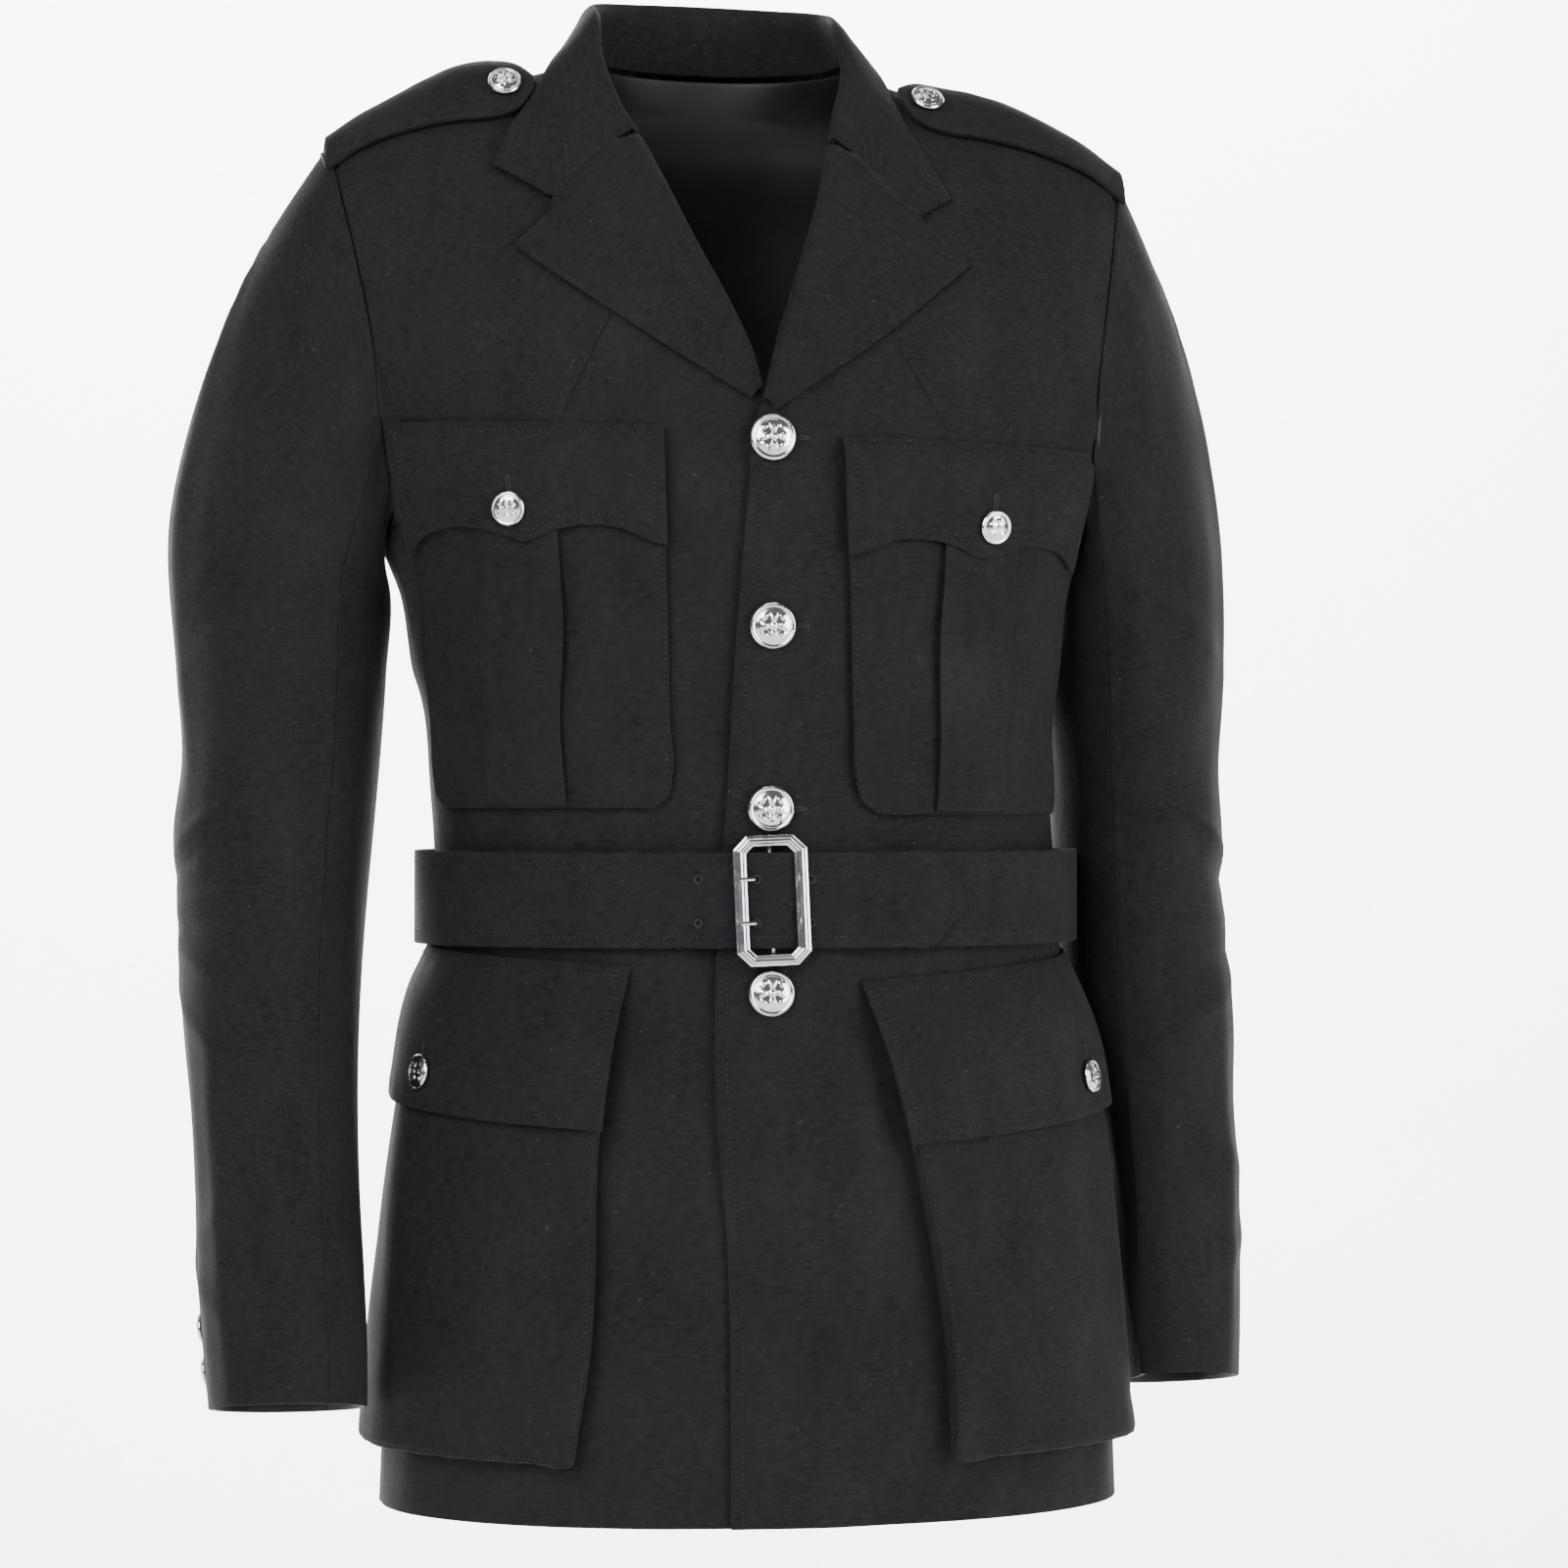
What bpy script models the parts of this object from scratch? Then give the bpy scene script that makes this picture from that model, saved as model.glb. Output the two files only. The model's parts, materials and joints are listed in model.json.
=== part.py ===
"""A police uniform tunic in black wool, filled out as it is worn.

Metres, +Z up. The front faces -Y and the wearer's left is +X. The origin is at the neck,
in the middle between the two points where the shoulder seams meet the collar.
Tables are in millimetres, a row for each level or section, and mm() turns them to metres.
"""

import bpy
import bmesh
from bisect import bisect_right
from functools import lru_cache
from math import cos, exp, hypot, pi, radians, sin
from mathutils import Matrix, Vector

MM = 0.001
RIGHT, LEFT = -1, 1

CLOTH = 2.0 * MM
TRIM_CLOTH = 1.7 * MM
UNDERARM_Z = -0.265
SHOULDER_TIP_Z = -0.057
BUTTON_RADIUS = 12.0 * MM
SMALL_BUTTON_RADIUS = 8.85 * MM
BELT_Z = -0.4494
BELT_WIDTH = 49.0 * MM
BELT_THICKNESS = 2.2 * MM
EPAULETTE_WIDTH = 45.0 * MM
SHOULDER_LEAN = 0.026
LEAN_FROM_Z, LEAN_REACH = -0.460, 0.300

# level, half width, front depth, back depth, roundness x 100, sway towards the left
BODY = [
    (-780, 198.5, 122, 130, 220, 12),
    (-700, 194.5, 122, 130, 220, 12),
    (-620, 187, 119, 128, 220, 12),
    (-550, 178, 116, 120, 220, 12),
    (-500, 171, 112, 110, 220, 11),
    (-448, 167, 109, 101, 220, 11),
    (-400, 166.5, 109, 100, 220, 8),
    (-350, 167.5, 113, 106, 225, 5),
    (-320, 174, 116, 111, 235, 4),
    (-286, 179, 118, 115, 240, 3),
    (-265, 187, 118, 120, 245, 2),
    (-235, 200, 118, 122, 250, 1),
    (-200, 213, 116, 124, 250, 0),
    (-150, 219, 106, 120, 240, 0),
    (-100, 220, 84, 108, 225, 0),
    (-72, 217, 63, 97, 210, 0),
    (-57, 213, 49, 89, 200, 0),
    (-47, 200, 41, 85, 200, -1),
    (-38, 185, 35, 83, 200, -2),
    (-29, 165, 30, 81, 200, -3),
    (-23, 145, 27, 80, 200, -4),
    (-19, 125, 25.5, 79.5, 200, -5),
    (-15.5, 105, 24, 79, 200, -5.5),
    (-9, 86, 22, 78.5, 200, -6),
    (0, 75, 20, 78, 200, -6),
]

# level, x of the armhole seam on the front, and on the back
ARMHOLE = [
    (-265, 189, 189),
    (-258, 184, 188),
    (-248, 182, 187),
    (-230, 185, 186),
    (-190, 188, 190),
    (-150, 194, 196),
    (-105, 202.5, 205),
    (-75, 209, 211),
    (-57, 213, 213),
]

# level, x of the left front's edge
LEFT_EDGE = [
    (-780, -11.5),
    (-634, -13),
    (-556, -18.5),
    (-473, -17.5),
    (-402, -12.5),
    (-308, -8),
    (-212, 0),
    (-180, 3),
]

# level, distance of the roll line from the middle, on the right and on the left
ROLL = [
    (-196, -6, 4),
    (-180, -5.5, 7.5),
    (-143, 10, 20),
    (-110, 26, 31),
    (-84, 37, 40),
    (-50, 51, 49),
    (-36, 60, 53),
    (-15, 69, 60),
    (0, 81, 69),
]

# side s, top level, bottom level, half width, depth: soft vertical folds in the body
BODY_FOLDS = [
    (-40, -500, -700, 10, 2.4),
    (42, -560, -760, 14, 2.2),
    (-55, -640, -770, 12, 1.6),
    (150, -290, -380, 9, 2.0),
    (-152, -290, -395, 9, 2.0),
    (205, -500, -760, 16, 2.6),
    (-208, -520, -760, 15, 2.2),
    (330, -480, -770, 22, 3.5),
    (400, -490, -770, 20, 3.0),
    (-345, -480, -770, 22, 3.2),
    (-60, -120, -200, 10, 1.2),
]
FOLD_FADE_TOP = 40 * MM
FOLD_FADE_BOTTOM = 30 * MM


def mm(value):
    return value * MM


def smooth(table, key, column):
    """A table's column at a key, on a smooth curve through its rows."""
    keys = [row[0] for row in table]
    last = len(table) - 1
    i = min(max(bisect_right(keys, key) - 1, 0), last - 1)

    def slope(j):
        a, b = table[max(j - 1, 0)], table[min(j + 1, last)]
        return (b[column] - a[column]) / (b[0] - a[0])

    low, high = table[i], table[i + 1]
    span = high[0] - low[0]
    t = min(max((key - low[0]) / span, 0.0), 1.0)
    return (low[column] * (1 + 2 * t) * (1 - t) ** 2 + slope(i) * span * t * (1 - t) ** 2
            + high[column] * (3 - 2 * t) * t ** 2 + slope(i + 1) * span * t ** 2 * (t - 1))


def ease(t):
    t = min(max(t, 0.0), 1.0)
    return t * t * (3 - 2 * t)


def bump(distance, half_width):
    return exp(-((distance / half_width) ** 2))


# The body's surface: level rings, walked round by the length s from the front's middle.

RING_STEPS = 180
NORMAL_STEP = 4 * MM
SHOULDER_STEP = 3 * MM
SHOULDER_SEARCH = (-0.2, 0.0)
SEARCH_TURNS = 18


@lru_cache(maxsize=None)
def ring(level):
    """Points (x from the ring's middle, y) from the front round to the back, and lengths."""
    key = level / MM
    half, front, back, round_x, sway = (mm(smooth(BODY, key, c)) for c in range(1, 6))
    power = 2 / (round_x / MM / 100)
    points = []
    for i in range(RING_STEPS + 1):
        angle = pi * i / RING_STEPS
        across, along = abs(sin(angle)) ** power, abs(cos(angle)) ** power
        y = -front * along if i <= RING_STEPS / 2 else back * along
        points.append((half * across, y))
    lengths = [0.0]
    for a, b in zip(points, points[1:]):
        lengths.append(lengths[-1] + hypot(b[0] - a[0], b[1] - a[1]))
    return points, lengths, sway


def s_round(level):
    """Half of the ring's girth: s at the back's middle."""
    return ring(round(level, 4))[1][-1]


def s_side(level):
    return ring(round(level, 4))[1][RING_STEPS // 2]


def s_of_x(level, x, back=False):
    """The length s, with a sign, where a ring passes x on its front or back half."""
    points, lengths, sway = ring(round(level, 4))
    target = min(abs(x - sway), points[RING_STEPS // 2][0])
    half = RING_STEPS // 2
    order = range(RING_STEPS, half, -1) if back else range(half)
    step = -1 if back else 1
    for i in order:
        a, b = points[i][0], points[i + step][0]
        if a <= target <= b:
            t = (target - a) / max(b - a, 1e-9)
            s = lengths[i] + (lengths[i + step] - lengths[i]) * t
            return s if x >= sway else -s
    return lengths[half] if x >= sway else -lengths[half]


def bare_body(s, level):
    """A point on the body's smooth surface."""
    points, lengths, sway = ring(round(level, 4))
    girth = 2 * lengths[-1]
    s = (s + girth / 2) % girth - girth / 2
    side = 1 if s >= 0 else -1
    i = min(max(bisect_right(lengths, abs(s)) - 1, 0), RING_STEPS - 1)
    t = (abs(s) - lengths[i]) / (lengths[i + 1] - lengths[i])
    a, b = points[i], points[i + 1]
    return Vector((sway + side * (a[0] + (b[0] - a[0]) * t), a[1] + (b[1] - a[1]) * t, level))


def body_normal(s, level):
    step = NORMAL_STEP
    along = bare_body(s + step, level) - bare_body(s - step, level)
    up = bare_body(s, level + step) - bare_body(s, level - step)
    return along.cross(up).normalized()


def body_fold(s, level):
    """How far the cloth's soft folds move it out at a place on the body."""
    out = 0.0
    for fold_s, top, bottom, half_width, depth in BODY_FOLDS:
        above = (level - mm(bottom) + FOLD_FADE_BOTTOM) / (2 * FOLD_FADE_BOTTOM)
        below = (mm(top) - level) / FOLD_FADE_TOP
        out += mm(depth) * bump(s - mm(fold_s), mm(half_width)) * ease(below) * ease(above)
    return out


def on_body(s, level, lift=0.0):
    out = lift + body_fold(s, level)
    return bare_body(s, level) + body_normal(s, level) * out


def top_level(x, y):
    """The level of the shoulder's surface above a place (x, y)."""
    low, high = SHOULDER_SEARCH
    for _ in range(SEARCH_TURNS):
        middle = (low + high) / 2
        key = middle / MM
        half, front, back, round_x, _sway = (mm(smooth(BODY, key, c)) for c in range(1, 6))
        power = round_x / MM / 100
        depth = front if y < 0 else back
        inside = (abs(x) / half) ** power + (abs(y) / depth) ** power < 1
        low, high = (middle, high) if inside else (low, middle)
    return low


def on_shoulder(x, y, lift):
    """A point above the shoulder, moved out along the surface's normal."""
    step = SHOULDER_STEP
    z = top_level(x, y)
    along_x = Vector((2 * step, 0, top_level(x + step, y) - top_level(x - step, y)))
    along_y = Vector((0, 2 * step, top_level(x, y + step) - top_level(x, y - step)))
    return Vector((x, y, z)) + along_x.cross(along_y).normalized() * lift


# Objects, materials and the sheet of cloth.

def clear_scene():
    for thing in list(bpy.data.objects):
        bpy.data.objects.remove(thing, do_unlink=True)


def new_collection(name):
    collection = bpy.data.collections.new(name)
    bpy.context.scene.collection.children.link(collection)
    return collection


def new_material(name, colour, roughness, metallic=0.0):
    material = bpy.data.materials.new(name)
    material.use_nodes = True
    shader = material.node_tree.nodes["Principled BSDF"]
    shader.inputs["Base Color"].default_value = (*colour, 1.0)
    shader.inputs["Roughness"].default_value = roughness
    shader.inputs["Metallic"].default_value = metallic
    return material


clear_scene()
TUNIC = new_collection("tunic")
CUTTERS = new_collection("cutters")
WOOL = new_material("black_wool_barathea", (0.012, 0.012, 0.014), 0.8)
CHROME = new_material("chrome", (0.75, 0.75, 0.76), 0.15, 1.0)


def lean(point):
    """The worn tunic hangs lower on its left shoulder, and level at the belt."""
    point = Vector(point)
    point.z -= SHOULDER_LEAN * point.x * ease((point.z - LEAN_FROM_Z) / LEAN_REACH)
    return point


def add_object(name, mesh, material, collection=TUNIC):
    thing = bpy.data.objects.new(name, mesh)
    collection.objects.link(thing)
    mesh.materials.append(material)
    return thing


def add_sheet(name, columns, rows, place, thickness=CLOTH, material=WOOL):
    """A sheet of cloth: place(u, v) gives its outer face, and the wall grows inwards."""
    bm = bmesh.new()
    bmesh.ops.create_grid(bm, x_segments=columns, y_segments=rows, size=0.5)
    for vert in bm.verts:
        u = min(max(vert.co.x + 0.5, 0.0), 1.0)
        v = min(max(vert.co.y + 0.5, 0.0), 1.0)
        vert.co = lean(place(u, v))
    mesh = bpy.data.meshes.new(name)
    bm.to_mesh(mesh)
    bm.free()
    thing = add_object(name, mesh, material)
    wall = thing.modifiers.new("cloth wall", "SOLIDIFY")
    wall.thickness = thickness
    wall.offset = -1
    mesh.shade_smooth()
    return thing


def pick(values, t):
    """The value at t, from 0 to 1, along a list of evenly counted stops."""
    place = t * (len(values) - 1)
    i = min(int(place), len(values) - 2)
    return values[i] + (values[i + 1] - values[i]) * (place - i)


# Fronts and back.

PANEL_LEVELS = [
    -770, -733, -695, -657, -618, -578, -538, -500, -463, -426, -389, -354, -322, -292, -265,
    -250, -232, -206, -180, -152, -125, -98, -76, -57, -46, -36, -27.5, -21.5, -15.5, -8, -1.5,
]
OVERLAP_LIFT = 3.4 * MM
UNDERLAP_S = 0.014
V_BOTTOM = {RIGHT: -188, LEFT: -184}
ROLL_INSET = 3.5 * MM
NECK_EASE = 10 * MM
V_EASE = 14 * MM
# the left front lies flat over the right one as far as this, then comes down beside it
OVERLAP_FLAT_S, OVERLAP_EASE_S = 0.026, 0.034
OVERLAP_TOP_Z, OVERLAP_FADE = -0.170, 0.050
SIDE_GAP, RIDGE_GAP = 0.3 * MM, 0.8 * MM
FRONT_COLUMNS, BACK_COLUMNS = 11, 18


def armhole_x(level, column):
    return mm(smooth(ARMHOLE, level / MM, column))


def outer_s(level, back=False):
    """s at a panel's outer edge: side seam, armhole, then shoulder seam."""
    if level <= UNDERARM_Z or level >= SHOULDER_TIP_Z:
        return s_side(level)
    sway = ring(round(level, 4))[2]
    return abs(s_of_x(level, armhole_x(level, 2 if back else 1) + sway, back))


def roll_x(side, level):
    return mm(smooth(ROLL, level / MM, 1 if side == RIGHT else 2))


def left_edge_x(level):
    return mm(smooth(LEFT_EDGE, level / MM, 1))


def front_inner_s(side, level):
    """s at a front's inner edge: its opening edge, then the neckline under the roll."""
    inset = ROLL_INSET * (1 - ease((level + NECK_EASE) / NECK_EASE))
    roll = s_of_x(level, side * (roll_x(side, level) + inset))
    if side == LEFT:
        edge = s_of_x(level, left_edge_x(level))
    else:
        edge = UNDERLAP_S
    meet = ease((level - mm(V_BOTTOM[side]) + V_EASE) / V_EASE)
    return edge + (roll - edge) * meet


def front_lift(side, s, level):
    """The left front lies over the right one and eases down to the body beside it."""
    if side == RIGHT:
        return 0.0
    over = 1 - ease((s - OVERLAP_FLAT_S) / OVERLAP_EASE_S)
    return OVERLAP_LIFT * over * (1 - ease((level - OVERLAP_TOP_Z) / OVERLAP_FADE))


def seam_gap(level):
    """Half the gap between front and back, wider along the ridge of the shoulder."""
    return RIDGE_GAP if level >= SHOULDER_TIP_Z else SIDE_GAP


def on_panel(side, s, level, lift):
    """A point over a front's cloth, with s counted outwards on either side."""
    return on_body(side * s, level, lift + front_lift(side, s, level))


def add_front(side, name):
    def place(u, v):
        level = mm(pick(PANEL_LEVELS, v))
        inner = front_inner_s(side, level)
        outer = side * (outer_s(level) - seam_gap(level))
        spread = u if side == LEFT else 1 - u
        s = inner + (outer - inner) * spread
        return on_body(s, level, front_lift(side, s, level))

    add_sheet(name, FRONT_COLUMNS, len(PANEL_LEVELS) - 1, place)


def add_back():
    def place(u, v):
        level = mm(pick(PANEL_LEVELS, v))
        edge = outer_s(level, back=True) + seam_gap(level)
        middle = s_round(level)
        s = edge + (2 * middle - 2 * edge) * u
        return on_body(s, level)

    add_sheet("back", BACK_COLUMNS, len(PANEL_LEVELS) - 1, place)


# Lapels: each a facing turned out at the roll line, lying on its front.

LAPEL_LIFT = 3.1 * MM
# offset out from the roll line, lift: the section of the roll
ROLL_SECTION = [(0.8, -1.8), (-0.9, 0.6), (0.8, 2.9)]
# side: bottom of the V, level of the gorge at the roll line, tip x and level
LAPELS = {RIGHT: (-187, -50.5, 120, -115), LEFT: (-193, -51.5, 118, -116)}
LAPEL_BELLY = 4.0 * MM
LAPEL_COLUMNS, LAPEL_ROWS = 4, 8
# the foot of the lapel's edge, out from the roll line and down from the bottom of the V
LAPEL_FOOT_OUT, LAPEL_FOOT_DROP = 7.0 * MM, 5.0 * MM
SETTLE_ROWS = 2
SETTLE_STEP = 1.5


def on_front(side, x, level, lift):
    """A point over a front, given by its distance from the middle and its level."""
    s = s_of_x(level, side * x)
    return on_body(s, level, lift + front_lift(side, side * s, level))


def add_lapel(side, name):
    bottom, gorge_z, tip_x, tip_z = (mm(v) for v in LAPELS[side])
    last_roll = len(ROLL_SECTION) - 1
    columns = LAPEL_COLUMNS + len(ROLL_SECTION)
    foot_x = roll_x(side, bottom) + LAPEL_FOOT_OUT
    foot_z = bottom - LAPEL_FOOT_DROP

    def place(u, v):
        column = round((u if side == LEFT else 1 - u) * columns)
        level = bottom + (gorge_z - bottom) * v
        inner_x = roll_x(side, level)
        roll_column = min(column, last_roll)
        offset, lift = ROLL_SECTION[roll_column]
        settle = max(0.0, 1 - v * LAPEL_ROWS / SETTLE_ROWS)
        lift += (LAPEL_LIFT / MM - lift) * settle
        offset += (SETTLE_STEP * roll_column - offset) * settle
        start_x = inner_x + mm(offset)
        if column <= last_roll:
            return on_front(side, start_x, level, mm(lift))
        t = (column - last_roll) / (columns - last_roll)
        edge_x = foot_x + (tip_x - foot_x) * v + LAPEL_BELLY * sin(pi * v)
        edge_z = foot_z + (tip_z - foot_z) * v
        x = start_x + (edge_x - start_x) * t
        z = level + (edge_z - level) * t
        return on_front(side, x, z, LAPEL_LIFT)

    add_sheet(name, columns, LAPEL_ROWS, place, TRIM_CLOTH)


# The collar: a stand up from the neckline, a fold, and a leaf down to its edge.

# level at the neckline, rise of the fold, x and level of the leaf's edge
COLLAR_FRONT = {
    RIGHT: [(-49.6, 2.5, 128, -71), (-35, 6, 119, -50), (-17, 12, 107, -31)],
    LEFT: [(-50.6, 2.5, 111, -80), (-36, 6, 103, -60), (-18, 11, 92, -38)],
}
# x, y, level of the stand's foot, of the fold, and of the leaf's edge
COLLAR_BACK = [
    (73.5, 0, 1.8, 62, -4, 20, 87, -1, -3),
    (64.5, 41, 1.8, 59, 36, 31, 85, 46, -10),
    (37.5, 66.5, 1.8, 35, 62, 36, 56, 84, -16),
    (0, 76, 1.8, 0, 72, 38, 0, 98, -20),
]
COLLAR_SHIFT = -6.0 * MM
NOTCH = {RIGHT: (98, -88.5), LEFT: (92.5, -91)}
COLLAR_COLUMNS_A_STATION = 3
COLLAR_LIFT = LAPEL_LIFT + 0.4 * MM
# beside the neckline: the stand's foot under the front, and the fold over it
STAND_OUT, STAND_LIFT = 0.8 * MM, -1.8 * MM
FOLD_IN, FOLD_LIFT = 0.2 * MM, 1.4 * MM
COLLAR_ROLL = 4.0 * MM
CREST_RISE = 1.6 * MM
SHOULDER_DROP = 1.2 * MM
LOW_STAND, HIGH_STAND = 0.7, 20.0 * MM
LEAF_SHARES = (0.25, 0.5, 0.72, 1.0)


def collar_stations(side):
    """From the gorge to the back's middle: foot, fold and edge of the collar's section."""
    stations = []
    for level, rise, edge_x, edge_z in COLLAR_FRONT[side]:
        level = mm(level)
        roll = roll_x(side, level)
        foot = on_front(side, roll + STAND_OUT, level, STAND_LIFT)
        fold = on_front(side, roll - FOLD_IN, level, FOLD_LIFT) + Vector((0, 0, mm(rise)))
        edge = on_front(side, mm(edge_x), mm(edge_z), COLLAR_LIFT)
        stations.append((foot, fold, edge))
    for row in COLLAR_BACK:
        values = [mm(v) for v in row]
        foot, fold, edge = (Vector((side * values[i] + COLLAR_SHIFT, values[i + 1], values[i + 2]))
                            for i in (0, 3, 6))
        stations.append((foot, fold, edge))
    return stations


def spline(points, place):
    """A smooth curve through points, at a place counted in points from the first."""
    i = min(int(place), len(points) - 2)
    t = place - i
    before = points[max(i - 1, 0)]
    after = points[min(i + 2, len(points) - 1)]
    a, b = points[i], points[i + 1]
    return 0.5 * (2 * a + (b - before) * t + (2 * before - 5 * a + 4 * b - after) * t ** 2
                  + (3 * a - before - 3 * b + after) * t ** 3)


def collar_section(foot, fold, edge, notch):
    """Points of a section: neck side of the stand, round the fold, then down the leaf."""
    out = Vector((edge.x - fold.x, edge.y - fold.y, 0)).normalized()
    up = Vector((0, 0, 1))
    rise = min(1.0, max(LOW_STAND, (fold.z - foot.z) / HIGH_STAND))
    crest = fold + out * COLLAR_ROLL * 0.6 + up * CREST_RISE * rise
    shoulder = fold + out * COLLAR_ROLL * 1.7 - up * SHOULDER_DROP
    if notch:
        leaf = [shoulder.lerp(notch, 0.5), notch, notch.lerp(edge, 0.5), edge]
    else:
        leaf = [shoulder.lerp(edge, share) for share in LEAF_SHARES]
    return [foot, foot.lerp(fold, 0.5), fold - up * mm(2) * rise, crest, shoulder] + leaf


def add_collar():
    right, left = collar_stations(RIGHT), collar_stations(LEFT)
    stations = right + left[-2::-1]
    count = len(stations) - 1
    columns = count * COLLAR_COLUMNS_A_STATION
    sections = []
    for i in range(columns + 1):
        place = i / COLLAR_COLUMNS_A_STATION
        foot, fold, edge = (spline([s[k] for s in stations], place) for k in range(3))
        side = RIGHT if i < columns / 2 else LEFT
        notch = None
        if i in (0, columns):
            notch_x, notch_z = NOTCH[side]
            notch = on_front(side, mm(notch_x), mm(notch_z), COLLAR_LIFT)
        sections.append(collar_section(foot, fold, edge, notch))
    rows = len(sections[0]) - 1

    def place(u, v):
        return sections[round(u * columns)][round(v * rows)]

    add_sheet("collar", columns, rows, place, TRIM_CLOTH)


# Sleeves: a top sleeve and an under sleeve, level rings below a cap that meets the armhole.

# level, middle x, half width, half depth, middle y
SLEEVE = {
    RIGHT: [
        (-718, 235, 41, 50, -50),
        (-670, 237, 43, 52, -40),
        (-605, 240, 43, 54, -25),
        (-540, 242, 44.5, 56, -12),
        (-480, 243, 48.5, 58, 0),
        (-420, 241, 52, 62, 10),
        (-360, 236.5, 53, 66, 10),
        (-290, 240, 60.5, 70, 5),
    ],
    LEFT: [
        (-718, 241, 42, 49, 15),
        (-670, 242, 43, 51, 20),
        (-605, 242, 43, 53, 28),
        (-540, 238, 45, 55, 34),
        (-480, 234, 46, 58, 36),
        (-420, 230, 45, 61, 34),
        (-360, 227, 46, 64, 28),
        (-290, 222, 49, 71, 11),
    ],
}
SLEEVE_LEVELS = [-714, -682, -643, -603, -563, -523, -485, -450, -415, -378, -334]
CAP_STOPS = [0.0, 0.2, 0.42, 0.66, 0.86]
CAP_SWELL = {RIGHT: 17.0 * MM, LEFT: 13.0 * MM}
CAP_FOOT = -0.290
FRONT_SEAM = 120.0
BACK_SEAM = -125.0
CUFF_TILT = 9.0 * MM
ARM_GAP = 3.2 * MM
# half of the seam allowance between the two halves, in degrees
SLEEVE_SEAM_HALF = {RIGHT: 1.35, LEFT: 2.5}
TOP_COLUMNS, UNDER_COLUMNS = 10, 5
# the belt and the pockets beside the arms: how far they stand out, and where
BELT_ROOM, BELT_ROOM_HALF, ROOM_EASE = 11.0 * MM, 26.0 * MM, 20.0 * MM
POCKET_ROOM, POCKET_ROOM_TOP, POCKET_ROOM_FOOT = 14.0 * MM, -0.475, -0.765
POCKET_ROOM_BACK_Y, POCKET_ROOM_EASE = 0.070, 30.0 * MM
# gap between the sleeve and the body at the armhole: least, added on top, added below
ARMHOLE_GAP, ARMHOLE_TOP_GAP, ARMHOLE_LOW_GAP = 1.25 * MM, 0.5 * MM, 1.2 * MM
ARMHOLE_LOW_RISE = 1.5 * MM
CREASE_REACH = 60.0
CREASE_SLANT = 0.35 * MM
INNER_ARM_ANGLE = 60.0

# level, angle, half height, depth: creases across the sleeves
SLEEVE_FOLDS = {
    RIGHT: [(-330, 60, 16, 2.5), (-400, 20, 22, 2.2), (-455, 75, 14, 2.4), (-500, 40, 20, 2.6),
            (-560, 60, 26, 2.0), (-640, 30, 30, 1.6)],
    LEFT: [(-330, 60, 16, 2.2), (-420, 10, 22, 2.4), (-470, 60, 16, 2.2), (-520, 30, 22, 2.4),
           (-600, 60, 26, 1.8)],
}


def belly_allowance(y, level):
    """How far the pockets and the belt stand out from the body, beside the sleeves."""
    belt = BELT_ROOM * (1 - ease((abs(level - BELT_Z) - BELT_ROOM_HALF) / ROOM_EASE))
    pocket = POCKET_ROOM * ease((POCKET_ROOM_TOP - level) / ROOM_EASE)
    pocket *= ease((level - POCKET_ROOM_FOOT) / ROOM_EASE)
    return max(belt, pocket * ease((POCKET_ROOM_BACK_Y - y) / POCKET_ROOM_EASE))


def body_side_x(side, y, level):
    """x of the body's side at a depth y, measured outwards from the middle."""
    half, front, back, round_x, sway = (mm(smooth(BODY, level / MM, c)) for c in range(1, 6))
    power = round_x / MM / 100
    depth = front if y < 0 else back
    share = min(abs(y) / depth, 1.0)
    return half * (1 - share ** power) ** (1 / power) + side * sway


def clear_of_body(side, point):
    """Moves a point on a sleeve out until it is just clear of the body."""
    least = body_side_x(side, point.y, point.z) + belly_allowance(point.y, point.z) + ARM_GAP
    point.x = side * max(side * point.x, least)
    return point


def armhole_point(side, angle):
    turn = radians(angle)
    level = SHOULDER_TIP_Z - (SHOULDER_TIP_Z - UNDERARM_Z) * (1 - cos(turn)) / 2
    s = side * outer_s(level, back=sin(turn) < 0)
    lower = (1 - cos(turn)) / 2
    beside = ARMHOLE_GAP + ARMHOLE_TOP_GAP * max(0.0, cos(turn)) + ARMHOLE_LOW_GAP * lower
    return on_body(s, level) + Vector((side * beside, 0, ARMHOLE_LOW_RISE * lower))


def sleeve_ring(side, angle, level):
    turn = radians(angle)
    key = level / MM
    middle_x, half_x, half_y, middle_y = (mm(smooth(SLEEVE[side], key, c)) for c in range(1, 5))
    crease = 0.0
    for fold_z, fold_angle, half_height, depth in SLEEVE_FOLDS[side]:
        beside = (angle - fold_angle + 180) % 360 - 180
        slant = mm(fold_z) + CREASE_SLANT * beside
        reach = bump(beside, CREASE_REACH)
        crease += mm(depth) * bump(level - slant, mm(half_height)) * reach
    across, along = cos(turn), sin(turn)
    x = middle_x + (half_x + crease) * across
    y = middle_y - (half_y + crease) * along
    return Vector((side * x, y, level))


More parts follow.
